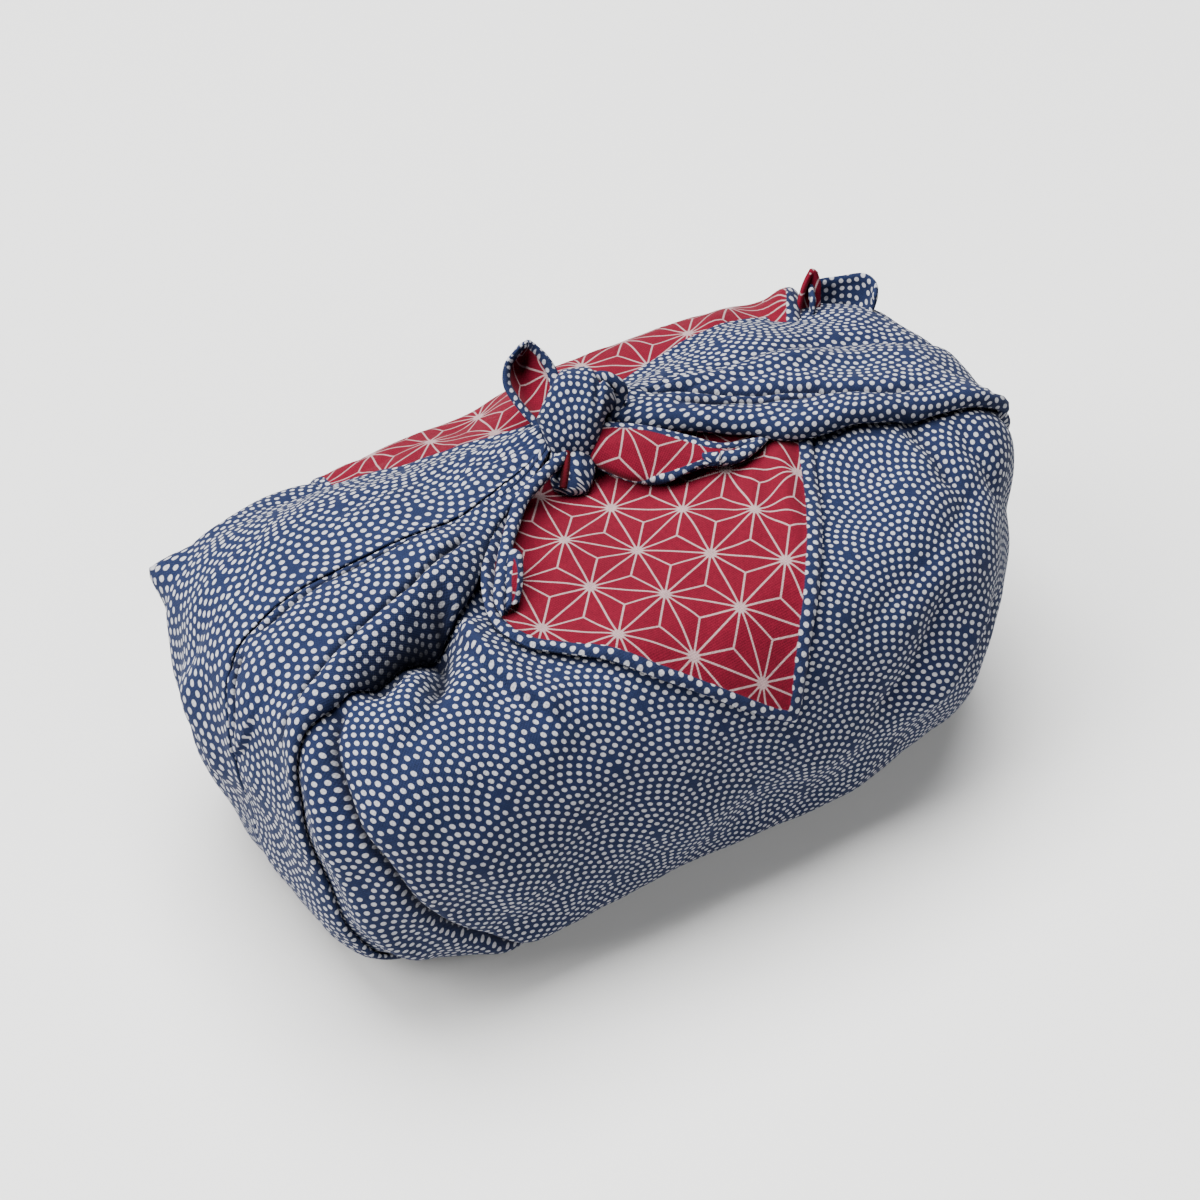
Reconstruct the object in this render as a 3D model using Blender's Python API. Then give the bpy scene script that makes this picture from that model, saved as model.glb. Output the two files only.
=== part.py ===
"""Furoshiki wrap: one square two-sided cloth tied round a slim box.

The outer cloth is drawn over the box, gathered at both ends into bands and tied on top. One corner is folded
back at the back top edge, so its lining lies face up over the top and its point hangs over the front.
Lengths are in millimetres up to the meshes, which are in metres. +X runs along the box, +Y to the back, +Z up.
"""

import math

import bmesh
import bpy
import numpy as np

MM = 0.001
OBJECT_NAME = "furoshiki_wrap"

# Where the finished outline's middle lies in the design axes; the model's origin is under that middle.
MIDDLE_X = 0.0
MIDDLE_Y = 1.25

# The bundle's firm form: flats at a distance from the middle, joined with this softness (higher is crisper).
MIDDLE_HEIGHT = 40.0
SOFTNESS = 8.6
BASE_FLAT = 0.6  # the lowest part of the round underside is pressed flat by this much
FLATS = (  # name, azimuth, elevation, distance
    ("left", 180, 0, 111),
    ("right", 0, 0, 111),
    ("front", -90, 0, 67),
    ("back", 90, 0, 70),
    ("top", 0, 90, 43),
    ("bottom", 0, -90, 40.6),
    ("front_left", -135, 0, 117),
    ("front_right", -45, 0, 91),
    ("back_right", 45, 0, 121),
    ("back_left", 135, 0, 121),
    ("top_front", -90, 45, 66),
    ("top_back", 90, 45, 81),
    ("top_right", 0, 45, 121),
    ("top_left", 180, 45, 111),
    ("under_front", -90, -45, 54),
    ("under_right", 0, -45, 78),
    ("under_left", 180, -45, 101),
    ("under_back", 90, -45, 59),
)

# The cloth runs out from the knot: azimuth round the bundle, and reach from the knot (0) over the rim (1) to
# the foot (2) and under.
KNOT_FOOT = (0.0, 22.0, 80.0)
RING = (105.0, 66.0, 42.0)
RIM_ELEVATION = 46.0
FOOT_ELEVATION = -42.0

BAND_REACHES = (0.15, 0.4, 0.7, 1.0, 1.3, 1.6)
BANDS = (  # name, azimuth of its two edges and height, each at the reaches above
    ("left", (97, 114, 123, 128, 144, 150), (205, 217, 213, 202, 206, 214), (10, 8.5, 6, 3.2, 1.0, 0)),
    ("right", (-33, -30, -22, -14, -5, 0), (62, 60, 56, 48, 31, 28), (10, 8.5, 6.5, 4.6, 1.5, 0)),
)

FOLD_REACHES = (0.4, 0.7, 1.0, 1.3, 1.6, 2.0)
FOLDS = (  # name, azimuth at the reaches above, height (below 0: a groove), half width
    ("left_pleat", (177, 167, 166, 177, 180, 182), -1.8, 2.4),
    ("left_strand", (190, 196, 196, 200, 206, 212), -1.3, 2.4),
    ("left_corner", (218, 213, 202, 207.5, 216, 222), -3.4, 3.6),
    ("left_roll", (226, 222, 212, 214, 221, 226), 1.6, 4.0),
    ("front_left", (232, 228, 203, 220.5, 226, 230), -1.8, 2.8),
    ("front_slope", (219, 219, 234, 242, 247, 250), -1.8, 3.2),
    ("right_valley", (-5, -5, -4, 0, 6, 10), -2.4, 2.8),
    ("right_strand", (-30, -22, -14, -6, 2, 6), -3.2, 3.4),
    ("right_roll", (-44, -38, -30, -22, -14, -8), 1.5, 4.6),
    ("right_upper", (32, 30, 26, 20, 18, 18), -1.6, 2.6),
    ("back_right", (62, 60, 52, 47, 46, 45), -2.2, 3.4),
    ("back_middle", (84, 84, 78, 74, 72, 70), -1.2, 4.0),
    ("back_left", (118, 120, 126, 130, 132, 134), -2.2, 3.6),
    ("left_end", (150, 150, 152, 156, 160, 162), -1.2, 3.4),
)
TUCKED_TIP = ("back_left_corner", 140, 1.2, 6.5, 7.0)  # name, azimuth, reach, height, radius

AROUND = 96
TOP_ROWS = 9
SIDE_ROWS = 11
UNDER_REACHES = (2.18, 2.42)
FIRST_REACH = 0.1

# The folded-back corner, laid out flat: p runs along X and q from the front to the back over the top.
POINT_P = 4.0
POINT_Q = -84.0
LEFT_HEM_ANGLE = 142.0
RIGHT_HEM_ANGLE = 59.0
LEFT_LIMIT = -52.0
RIGHT_LIMIT = 92.0
BACK_Q = 73.0
HEM_WIDTH = 3.6
FLAP_LAYER = 1.2  # thickness of the outer cloth under the lining
FLAP_ROOT = 6.0  # how far that layer is joined into the body below it
LINING_THICKNESS = 1.0
GAP = 0.3
BITE = 0.1  # how far a lining's recess is pressed into the cloth below it
FLAP_ROWS = 17
FLAP_COLUMNS = 9

KNOT_PATH = (  # name, x, y, z, radius
    ("behind", 9.0, 36.0, 90.0, 6.5),
    ("over", 6.5, 31.0, 95.0, 8.5),
    ("crown", 1.5, 22.5, 95.5, 10.0),
    ("front", -5.0, 14.5, 91.5, 8.2),
    ("under", -8.0, 12.0, 86.0, 6.5),
)
TAILS = (  # name, root (x, y, z), tip (x, y, z), sideways (x, y, z), half width, cup depth
    ("left", (-3.5, 29.0, 92.0), (-0.5, 44.0, 104.0), (0.80, -0.30, 0.10), 7.5, 4.0),
    ("right", (6.0, 17.0, 91.0), (36.5, -8.0, 87.5), (-0.50, -0.62, -0.60), 6.5, 2.4),
)
TAIL_THICKNESS = 1.4
TAIL_ROWS = 9
TAIL_COLUMNS = 6
EAR_MIDDLE = (92.0, 47.0, 76.5)
EAR_HEIGHT = 10.5
EAR_RADII = (8.5, 4.2)
EAR_THICKNESS = 1.4

NAVY = (0.028, 0.065, 0.19, 1.0)
RED = (0.50, 0.02, 0.045, 1.0)
ROUGHNESS = 0.9


def unit(azimuth, elevation):
    turn, lift = np.radians(azimuth), np.radians(elevation)
    return np.stack([np.cos(turn) * np.cos(lift), np.sin(turn) * np.cos(lift), np.sin(lift)], -1)


MIDDLE = np.array([0.0, 0.0, MIDDLE_HEIGHT])
FLAT_NORMALS = np.array([unit(azimuth, elevation) for _, azimuth, elevation, _ in FLATS])
FLAT_DISTANCES = np.array([distance for *_, distance in FLATS])


def tightness(offsets):
    """1 on the firm form, less inside it; offsets run from the middle."""
    shares = np.maximum(0.0, offsets @ FLAT_NORMALS.T / FLAT_DISTANCES)
    return (shares**SOFTNESS).sum(-1) ** (1 / SOFTNESS)


def firm_point(offsets):
    """The firm form's point in the direction of each offset from the middle."""
    return MIDDLE + offsets / tightness(offsets)[..., None]


def ring_offset(azimuth, elevation):
    return unit(azimuth, elevation) * np.array(RING)


def polar_point(azimuth, reach):
    azimuth, reach = np.broadcast_arrays(np.asarray(azimuth, float), np.asarray(reach, float))
    elevation = RIM_ELEVATION + (FOOT_ELEVATION - RIM_ELEVATION) * np.maximum(reach - 1, 0)
    rim = firm_point(ring_offset(azimuth, np.full(azimuth.shape, RIM_ELEVATION)))
    knot = np.array(KNOT_FOOT)
    inner = knot + (rim - knot) * np.clip(reach, 0, 1)[..., None] - MIDDLE
    offsets = np.where((reach < 1)[..., None], inner, ring_offset(azimuth, elevation))
    return firm_point(offsets)


def normals_of(grid, closed):
    """Outward unit normals of a grid whose first axis runs round and whose second runs down."""
    if closed:
        around = np.roll(grid, -1, 0) - np.roll(grid, 1, 0)
    else:
        around = np.gradient(grid, axis=0)
    along = np.gradient(grid, axis=1)
    normal = np.cross(along, around)
    return normal / np.maximum(np.linalg.norm(normal, axis=-1, keepdims=True), 1e-9)


def turned(degrees):
    """An angle brought to -180..180."""
    return (degrees + 180) % 360 - 180


def band_height(azimuth, reach):
    height = np.zeros(azimuth.shape)
    for _, first, second, heights in BANDS:
        start = np.interp(reach, BAND_REACHES, first)
        width = np.interp(reach, BAND_REACHES, second) - start
        across = 2 * ((azimuth - start) % 360) / width - 1
        crown = np.sqrt(np.maximum(0, 1 - np.abs(across) ** 4))
        height += np.interp(reach, BAND_REACHES, heights) * crown * (np.abs(across) < 1)
    return height


def fold_height(azimuth, reach, grid):
    """The folds' grooves and rolls. Distances are along the ring of points at the same reach."""
    height = np.zeros(azimuth.shape)
    step = np.linalg.norm(np.roll(grid, -1, 0) - np.roll(grid, 1, 0), axis=-1)
    turn = np.abs(turned(np.roll(azimuth, -1, 0) - np.roll(azimuth, 1, 0)))
    mm_per_degree = step / np.maximum(turn, 1e-6)
    fade = np.clip(reach / 0.4, 0, 1) * np.clip((2.1 - reach) / 0.4, 0, 1)
    for _, azimuths, depth, half_width in FOLDS:
        away = turned(azimuth - np.interp(reach, FOLD_REACHES, azimuths)) * mm_per_degree
        height += depth * fade * np.exp(-((away / half_width) ** 2))
    return height


def tip_height(grid):
    _, azimuth, reach, height, radius = TUCKED_TIP
    away = np.linalg.norm(grid - polar_point(azimuth, reach), axis=-1)
    return height * np.maximum(0, 1 - away / radius)


def fold_columns(reaches):
    """Azimuths round the bundle, closer together near the folds."""
    fine = np.linspace(0, 360, 2000, endpoint=False)
    rows = []
    for reach in reaches:
        crowd = np.ones(fine.shape)
        for _, azimuths, _, _ in FOLDS:
            away = turned(fine - np.interp(reach, FOLD_REACHES, azimuths))
            crowd += 1.4 * np.exp(-((away / 5.0) ** 2))
        total = np.concatenate([[0], np.cumsum(crowd)])
        shares = np.arange(AROUND) / AROUND * total[-1]
        rows.append(np.interp(shares, total, np.append(fine, 360.0)))
    return np.stack(rows, 1)


def to_object_axes(points):
    return (np.asarray(points) - np.array([MIDDLE_X, MIDDLE_Y, 0.0])) * MM


def new_object(name, points, faces, material):
    mesh = bpy.data.meshes.new(name)
    mesh.from_pydata([tuple(p) for p in to_object_axes(points)], [], faces)
    mesh.materials.append(material)
    mesh.shade_smooth()
    thing = bpy.data.objects.new(name, mesh)
    return thing


def bundle(material):
    """The closed body of the wrap: rings of points from the knot over the rim to the flat base."""
    reaches = np.concatenate(
        [
            np.linspace(FIRST_REACH, 1, TOP_ROWS, endpoint=False),
            np.linspace(1, 2, SIDE_ROWS),
            UNDER_REACHES,
        ]
    )
    azimuth = fold_columns(reaches)
    reach = np.broadcast_to(reaches, azimuth.shape)
    firm = polar_point(azimuth, reach)
    rise = band_height(azimuth, reach) + fold_height(azimuth, reach, firm) + tip_height(firm)
    grid = firm + normals_of(firm, closed=True) * rise[..., None]
    grid[..., 2] = np.maximum(grid[..., 2] - BASE_FLAT, 0.0)
    columns, rows = azimuth.shape
    points = grid.reshape(-1, 3).tolist()
    top, bottom = len(points), len(points) + 1
    points.append(tuple(grid[:, 0].mean(0) + np.array([0, 0, 1.0])))
    points.append((0.0, 0.0, 0.0))
    faces = []
    for column in range(columns):
        here, there = column * rows, (column + 1) % columns * rows
        faces.append((top, here, there))
        for row in range(rows - 1):
            faces.append((here + row, here + row + 1, there + row + 1, there + row))
        faces.append((here + rows - 1, bottom, there + rows - 1))
    return new_object("outer_cloth", points, faces, material)


def section_table(p_values):
    """For each p, the firm form's section there: distance walked from its top, and the points."""
    angles = np.radians(np.linspace(-20, 200, 221))
    x = np.asarray(p_values)[:, None]
    swing = np.stack(np.broadcast_arrays(0 * x, np.cos(angles), np.sin(angles)), -1)
    lengthwise = np.stack(np.broadcast_arrays(x, 0 * angles, 0 * angles), -1)
    low, high = np.zeros(swing.shape[:2]), np.full(swing.shape[:2], 200.0)
    for _ in range(30):
        radius = (low + high) / 2
        inside = tightness(lengthwise + swing * radius[..., None]) < 1
        low, high = np.where(inside, radius, low), np.where(inside, high, radius)
    points = MIDDLE + lengthwise + swing * low[..., None]
    walked = np.concatenate([0 * x, np.cumsum(np.linalg.norm(np.diff(points, axis=1), axis=-1), 1)], 1)
    walked -= np.array([[np.interp(0, -row[:, 1], w)] for row, w in zip(points, walked)])
    return -walked, points


def flap_grid(inset, rows, columns):
    """Points on the firm form under the folded-back corner, from its point to the fold at the back."""
    left_slope = 1 / math.tan(math.radians(LEFT_HEM_ANGLE))
    right_slope = 1 / math.tan(math.radians(RIGHT_HEM_ANGLE))
    point_inset = inset * math.sqrt(2)
    q_values = POINT_Q + point_inset + (BACK_Q - POINT_Q - point_inset) * np.linspace(0, 1, rows) ** 1.15
    grid = []
    for q in q_values:
        run = q - POINT_Q - point_inset
        left = max(POINT_P + left_slope * run - 1.0, LEFT_LIMIT + inset)
        right = min(POINT_P + right_slope * run + 1.0, RIGHT_LIMIT - inset)
        p_values = np.linspace(left, right, columns)
        walked, points = section_table(p_values)
        row = [
            [np.interp(q, w[::-1], line[::-1, axis]) for axis in range(3)] for w, line in zip(walked, points)
        ]
        grid.append(row)
    return np.array(grid)


def widened(grid, reach):
    """The same grid with its rim moved outwards by reach along the cloth."""
    wide = grid.copy()
    for edge, inner in ((0, 1), (-1, -2)):
        out = grid[edge] - grid[inner]
        wide[edge] += reach * out / np.linalg.norm(out, axis=-1, keepdims=True)
        out = grid[:, edge] - grid[:, inner]
        wide[:, edge] += reach * out / np.linalg.norm(out, axis=-1, keepdims=True)
    return wide


def sheet(name, grid, lift, thickness, material, widening=0.0):
    """A closed sheet on a grid of points, standing off them by lift."""
    rows, columns = grid.shape[:2]
    normal = normals_of(grid, closed=False)
    low = widened(grid + normal * lift, widening)
    high = widened(grid + normal * (lift + thickness), widening)
    points = np.concatenate([low.reshape(-1, 3), high.reshape(-1, 3)])
    over = rows * columns
    faces = []
    for row in range(rows - 1):
        for column in range(columns - 1):
            a = row * columns + column
            b, c, d = a + 1, a + columns + 1, a + columns
            faces += [(a, c, b), (a, d, c)]
            faces += [(a + over, b + over, c + over), (a + over, c + over, d + over)]
    rim = [column for column in range(columns)]
    rim += [row * columns + columns - 1 for row in range(1, rows)]
    rim += [(rows - 1) * columns + column for column in range(columns - 2, -1, -1)]
    rim += [row * columns for row in range(rows - 2, 0, -1)]
    for here, there in zip(rim, rim[1:] + rim[:1]):
        faces.append((here, there, there + over, here + over))
    return new_object(name, points, faces, material)


def tail_grid(root, tip, sideways, half_width, cup, inset):
    """A cupped leaf from the knot to its free point."""
    root, tip, sideways = (np.array(v) for v in (root, tip, sideways))
    sideways = sideways / np.linalg.norm(sideways)
    facing = np.cross(sideways, tip - root)
    facing /= np.linalg.norm(facing)
    shares = np.linspace(0, 1, TAIL_ROWS)
    widths = np.maximum(half_width * np.sin(np.pi * (0.22 + 0.74 * shares)) ** 0.8 - inset, 0.6)
    across = np.linspace(-1, 1, TAIL_COLUMNS)
    grid = []
    for share, width in zip(shares * (1 - inset / 30), widths):
        spine = root + (tip - root) * share
        lift = cup * (width / half_width) * across**2
        grid.append(spine + sideways * (across * width)[:, None] + facing * lift[:, None])
    return np.array(grid)


def ear(material):
    """The small open pocket where the fold and the hem meet at the back right corner."""
    turns = np.radians(np.linspace(-150, 150, 13))
    heights = np.linspace(0, 1, 4)
    grid = []
    for turn in turns:
        flare = 0.75 + 0.35 * heights
        x = EAR_MIDDLE[0] + EAR_RADII[0] * np.cos(turn) * flare
        y = EAR_MIDDLE[1] + EAR_RADII[1] * np.sin(turn) * flare
        grid.append(np.stack([x, y, EAR_MIDDLE[2] + EAR_HEIGHT * heights], -1))
    return sheet("ear", np.array(grid), -EAR_THICKNESS / 2, EAR_THICKNESS, material)


def knot(material):
    """The knot's wrapped loop, as one fat curved tube."""
    curve = bpy.data.curves.new("knot", "CURVE")
    curve.dimensions = "3D"
    curve.bevel_depth = MM
    curve.bevel_resolution = 4
    curve.resolution_u = 5
    curve.use_fill_caps = True
    spline = curve.splines.new("BEZIER")
    spline.bezier_points.add(len(KNOT_PATH) - 1)
    for stop, (_, x, y, z, radius) in zip(spline.bezier_points, KNOT_PATH):
        stop.co = to_object_axes((x, y, z))
        stop.radius = radius
        stop.handle_left_type = stop.handle_right_type = "AUTO"
    tube = bpy.data.objects.new("knot_tube", curve)
    bpy.context.scene.collection.objects.link(tube)
    bpy.context.view_layer.update()
    mesh = bpy.data.meshes.new_from_object(tube.evaluated_get(bpy.context.evaluated_depsgraph_get()))
    work = bmesh.new()
    work.from_mesh(mesh)
    bmesh.ops.remove_doubles(work, verts=work.verts, dist=0.01 * MM)
    bmesh.ops.recalc_face_normals(work, faces=work.faces)
    work.to_mesh(mesh)
    work.free()
    mesh.materials.append(material)
    bpy.data.objects.remove(tube)
    return bpy.data.objects.new("knot", mesh)


def cloth_material(name, colour):
    material = bpy.data.materials.new(name)
    material.use_nodes = True
    shader = material.node_tree.nodes["Principled BSDF"]
    shader.inputs["Base Color"].default_value = colour
    shader.inputs["Roughness"].default_value = ROUGHNESS
    shader.inputs["Metallic"].default_value = 0.0
    return material


def combine(target, tool, operation):
    cut = target.modifiers.new(tool.name, "BOOLEAN")
    cut.operation = operation
    cut.object = tool
    cut.solver = "EXACT"


def main():
    for thing in list(bpy.data.objects):
        bpy.data.objects.remove(thing)
    parts = bpy.data.collections.new(OBJECT_NAME)
    tools = bpy.data.collections.new("joined_and_cut")
    for collection in (parts, tools):
        bpy.context.scene.collection.children.link(collection)
    navy = cloth_material("outer_cotton", NAVY)
    red = cloth_material("lining_cotton", RED)

    cloth = bundle(navy)
    under_grid = flap_grid(0.0, FLAP_ROWS, FLAP_COLUMNS)
    under = sheet("flap_under", under_grid, -FLAP_ROOT, FLAP_LAYER + FLAP_ROOT, navy)
    lining_grid = flap_grid(HEM_WIDTH, FLAP_ROWS, FLAP_COLUMNS)
    lining = sheet("lining_flap", lining_grid, FLAP_LAYER + GAP, LINING_THICKNESS, red)
    slot = sheet("flap_slot", lining_grid, FLAP_LAYER - BITE, LINING_THICKNESS + 2 * GAP + BITE, navy, GAP)
    joined = [under, knot(navy), ear(navy)]
    linings = [lining]
    slots = [slot]
    for name, root, tip, sideways, half_width, cup in TAILS:
        outer = tail_grid(root, tip, sideways, half_width, cup, 0.0)
        inner = tail_grid(root, tip, sideways, half_width, cup, HEM_WIDTH * 0.6)
        joined.append(sheet(f"tail_{name}", outer, -TAIL_THICKNESS, TAIL_THICKNESS, navy))
        linings.append(sheet(f"lining_tail_{name}", inner, GAP, LINING_THICKNESS, red))
        slots.append(sheet(f"slot_{name}", inner, -BITE, LINING_THICKNESS + 2 * GAP + BITE, navy, GAP))
    parts.objects.link(cloth)
    for tool in joined + slots:
        tools.objects.link(tool)
        tool.hide_render = True
        tool.display_type = "WIRE"
    for piece in linings:
        parts.objects.link(piece)
    for tool in joined:
        combine(cloth, tool, "UNION")
    for tool in slots:
        combine(cloth, tool, "DIFFERENCE")


main()
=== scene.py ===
"""Looks of the furoshiki wrap: navy dotted cloth round a slim box, with its red lining folded back.

The form's tables repeat those that model.glb was built from. Lengths are in millimetres in the design axes
(+X along the box, +Y to the back, +Z up) up to the meshes, which are in metres in the row frame.
Azimuths are in degrees round the bundle. A reach runs from the knot (0) over the rim (1) to the foot (2).
"""

import math
from collections import namedtuple

import bpy
import numpy as np
from mathutils import Matrix, Vector


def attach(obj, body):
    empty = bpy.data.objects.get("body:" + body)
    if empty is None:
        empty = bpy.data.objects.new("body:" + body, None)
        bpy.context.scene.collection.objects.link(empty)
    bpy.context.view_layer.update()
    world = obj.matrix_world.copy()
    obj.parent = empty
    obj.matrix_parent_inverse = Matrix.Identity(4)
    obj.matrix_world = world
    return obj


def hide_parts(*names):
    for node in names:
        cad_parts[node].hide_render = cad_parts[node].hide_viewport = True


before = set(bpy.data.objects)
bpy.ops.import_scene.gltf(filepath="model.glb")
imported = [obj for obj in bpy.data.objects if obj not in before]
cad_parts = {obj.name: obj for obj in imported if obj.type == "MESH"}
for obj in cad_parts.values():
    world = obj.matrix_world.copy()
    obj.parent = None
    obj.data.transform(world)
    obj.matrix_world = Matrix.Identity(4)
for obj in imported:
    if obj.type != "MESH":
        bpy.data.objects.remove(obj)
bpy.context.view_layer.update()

MM = 0.001
SEED = 7

ROW_ORIGIN = (0.0, 1.25, 0.0)  # the row frame's origin in the design axes

# The bundle's firm form: flats at a distance from the middle, joined with this softness.
MIDDLE_HEIGHT = 40.0
SOFTNESS = 8.6
BASE_FLAT = 0.6
FLATS = (  # azimuth, elevation, distance
    (180, 0, 111),  # left
    (0, 0, 111),  # right
    (-90, 0, 67),  # front
    (90, 0, 70),  # back
    (0, 90, 43),  # top
    (0, -90, 40.6),  # bottom
    (-135, 0, 117),  # front left
    (-45, 0, 91),  # front right
    (45, 0, 121),  # back right
    (135, 0, 121),  # back left
    (-90, 45, 66),  # top front
    (90, 45, 81),  # top back
    (0, 45, 121),  # top right
    (180, 45, 111),  # top left
    (-90, -45, 54),  # under front
    (0, -45, 78),  # under right
    (180, -45, 101),  # under left
    (90, -45, 59),  # under back
)
KNOT_FOOT = (0.0, 22.0, 80.0)
RING = (105.0, 66.0, 42.0)  # half sizes of the oval on which azimuths are even
RIM_ELEVATION = 46.0
FOOT_ELEVATION = -42.0

# Lines where one panel of the cloth overlaps the next, as (reach, azimuth) points from the knot down.
# top is the side that lies on top, -1 for the lower azimuths; strengths says how far the overlap is formed,
# as (reach, share) points; overlap, half_zone and layer are in millimetres.
Overlap = namedtuple("Overlap", "top overlap half_zone layer strengths line")
OVERLAPS = (
    Overlap(  # the right band's lower edge
        1, 5.0, 6.5, 0.9,
        ((0.1, 1), (1.0, 1), (1.15, 0.8), (1.5, 0.5), (2.0, 0.3), (2.4, 0)),
        ((0.1, -42), (0.3, -35), (0.42, -34), (0.5, -36), (0.56, -33.6), (0.64, -28), (0.72, -24.8),
         (0.82, -21), (0.9, -18), (0.98, -15.4), (1.06, -12.4), (1.3, -5), (1.6, 0), (2.0, 6), (2.42, 10)),
    ),
    Overlap(  # the right band's upper edge
        -1, 3.0, 4.5, 0.9,
        ((0.1, 1), (1.0, 1), (1.2, 0.5), (1.4, 0.2), (2.0, 0.2), (2.4, 0)),
        ((0.1, 62), (0.42, 60), (0.58, 58), (0.84, 53), (1.0, 46), (1.2, 44), (1.6, 44), (2.0, 44),
         (2.42, 44)),
    ),
    Overlap(  # the left band's upper edge
        1, 3.0, 4.5, 0.9,
        ((0.1, 1), (1.0, 1), (1.2, 0.7), (1.5, 0.5), (2.0, 0.3), (2.4, 0)),
        ((0.1, 92), (0.22, 103), (0.52, 120), (0.9, 125), (1.0, 129), (1.1, 135), (1.2, 140), (1.4, 145),
         (1.6, 148), (2.0, 150), (2.42, 150)),
    ),
    Overlap(  # the pleat in the left band
        -1, 1.8, 2.4, 0.8,
        ((0.1, 0.3), (0.25, 0.8), (0.5, 1), (1.3, 1), (1.6, 0.6), (2.0, 0.4), (2.4, 0)),
        ((0.1, 196), (0.25, 196.5), (0.35, 194), (0.5, 187.5), (0.62, 180.8), (0.74, 175.5), (0.88, 173),
         (0.98, 172.6), (1.05, 175), (1.1, 178.6), (1.15, 182), (1.26, 184.6), (1.44, 185.5), (2.0, 187),
         (2.42, 188)),
    ),
    Overlap(  # the left band's lower edge
        -1, 5.0, 6.0, 0.9,
        ((0.1, 1), (1.2, 1), (1.8, 0.9), (2.0, 0.6), (2.4, 0)),
        ((0.1, 208), (0.25, 212), (0.4, 211.5), (0.55, 214), (0.63, 214.5), (0.7, 212.5), (0.8, 209),
         (0.89, 206), (0.99, 203.4), (1.05, 203), (1.12, 204.2), (1.2, 205.4), (1.33, 207.2), (1.5, 210),
         (1.75, 213), (2.0, 215), (2.42, 217)),
    ),
)
ZONE = 16  # samples across an overlap
ZONE_SHARE = 0.28  # the most of the way to the next line that half an overlap takes
LIP_SHARE = 0.42  # the most of half an overlap that its lip's radius takes
SEAM = 10  # the sample where one panel's cloth ends and the next begins
PANEL_COLUMNS = {  # for each panel, from its overlap line to the next: its columns, and how they crowd
    "right": (146, 1.25),
    "back": (48, 1.0),
    "left_top": (64, 1.0),
    "left_end": (94, 1.0),
    "front": (202, 1.35),
}
PANELS = tuple(PANEL_COLUMNS)

# The gathered bands: the overlap lines that bound each, its crown's (reach, height) points above the firm
# form, and its heights at the two lines, as shares of the crown's.
Band = namedtuple("Band", "first last heights edges")
RIGHT_BAND = Band(
    0, 1,
    ((0.1, 10), (0.3, 9), (0.5, 8), (0.7, 6.6), (0.9, 5.2), (1.0, 4.6), (1.15, 3.0), (1.4, 1.2), (1.7, 0.6),
     (2.4, 0)),
    (0.95, 0.5),
)
LEFT_BAND = Band(
    2, 4,
    ((0.1, 10), (0.3, 9), (0.5, 7.6), (0.7, 5.8), (0.9, 4.2), (1.0, 3.4), (1.15, 2.6), (1.4, 1.9),
     (1.9, 1.4), (2.4, 0)),
    (0.5, 0.95),
)
BANDS = {"right": RIGHT_BAND, "left_top": LEFT_BAND, "left_end": LEFT_BAND}

FIRST_REACH = 0.1
LAST_REACH = 2.42
TOP_ROWS = 72
SIDE_ROWS = 68
UNDER_ROWS = 10
FOOT_REACH = 2.0
SPREAD_AZIMUTHS = (195.0, 290.0)  # the rows are spread evenly along these two azimuths together


def unit(azimuth, elevation):
    turn, lift = np.radians(azimuth), np.radians(elevation)
    return np.stack([np.cos(turn) * np.cos(lift), np.sin(turn) * np.cos(lift), np.sin(lift)], -1)


MIDDLE = np.array([0.0, 0.0, MIDDLE_HEIGHT])
FLAT_NORMALS = np.array([unit(azimuth, elevation) for azimuth, elevation, _ in FLATS])
FLAT_DISTANCES = np.array([distance for *_, distance in FLATS])


def normalised(vectors):
    return vectors / np.maximum(np.linalg.norm(vectors, axis=-1, keepdims=True), 1e-9)


def tightness(offsets):
    """1 for offsets from the middle that end on the firm form, less inside it and more outside."""
    shares = np.maximum(0.0, offsets @ FLAT_NORMALS.T / FLAT_DISTANCES)
    return (shares**SOFTNESS).sum(-1) ** (1 / SOFTNESS)


def firm_point(offsets):
    return MIDDLE + offsets / tightness(offsets)[..., None]


def firm_normal(points):
    """The firm form's outward normals, from the gradient of its tightness."""
    shares = np.maximum(0.0, (points - MIDDLE) @ FLAT_NORMALS.T / FLAT_DISTANCES)
    return normalised((shares ** (SOFTNESS - 1) / FLAT_DISTANCES) @ FLAT_NORMALS)


def polar_point(azimuth, reach):
    """A point on the firm form; inside the rim it lies on the way from the knot's foot to the rim."""
    azimuth, reach = np.broadcast_arrays(np.asarray(azimuth, float), np.asarray(reach, float))
    elevation = RIM_ELEVATION + (FOOT_ELEVATION - RIM_ELEVATION) * np.maximum(reach - 1, 0)
    ring = np.array(RING)
    rim = firm_point(unit(azimuth, np.full(azimuth.shape, RIM_ELEVATION)) * ring)
    knot = np.array(KNOT_FOOT)
    inner = knot + (rim - knot) * np.clip(reach, 0, 1)[..., None] - MIDDLE
    return firm_point(np.where((reach < 1)[..., None], inner, unit(azimuth, elevation) * ring))


def along(reach, points):
    """A value read from (reach, value) points, smoothly between them."""
    x, y = np.array(points, float).T
    slope = np.gradient(y, x)
    rise = np.diff(y)
    slope[1:-1][rise[:-1] * rise[1:] <= 0] = 0
    r = np.clip(reach, x[0], x[-1])
    i = np.clip(np.searchsorted(x, r, side="right") - 1, 0, len(x) - 2)
    h = x[i + 1] - x[i]
    t = (r - x[i]) / h
    return (
        y[i] * (1 + 2 * t) * (1 - t) ** 2 + slope[i] * h * t * (1 - t) ** 2
        + y[i + 1] * t * t * (3 - 2 * t) + slope[i + 1] * h * t * t * (t - 1)
    )


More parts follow.
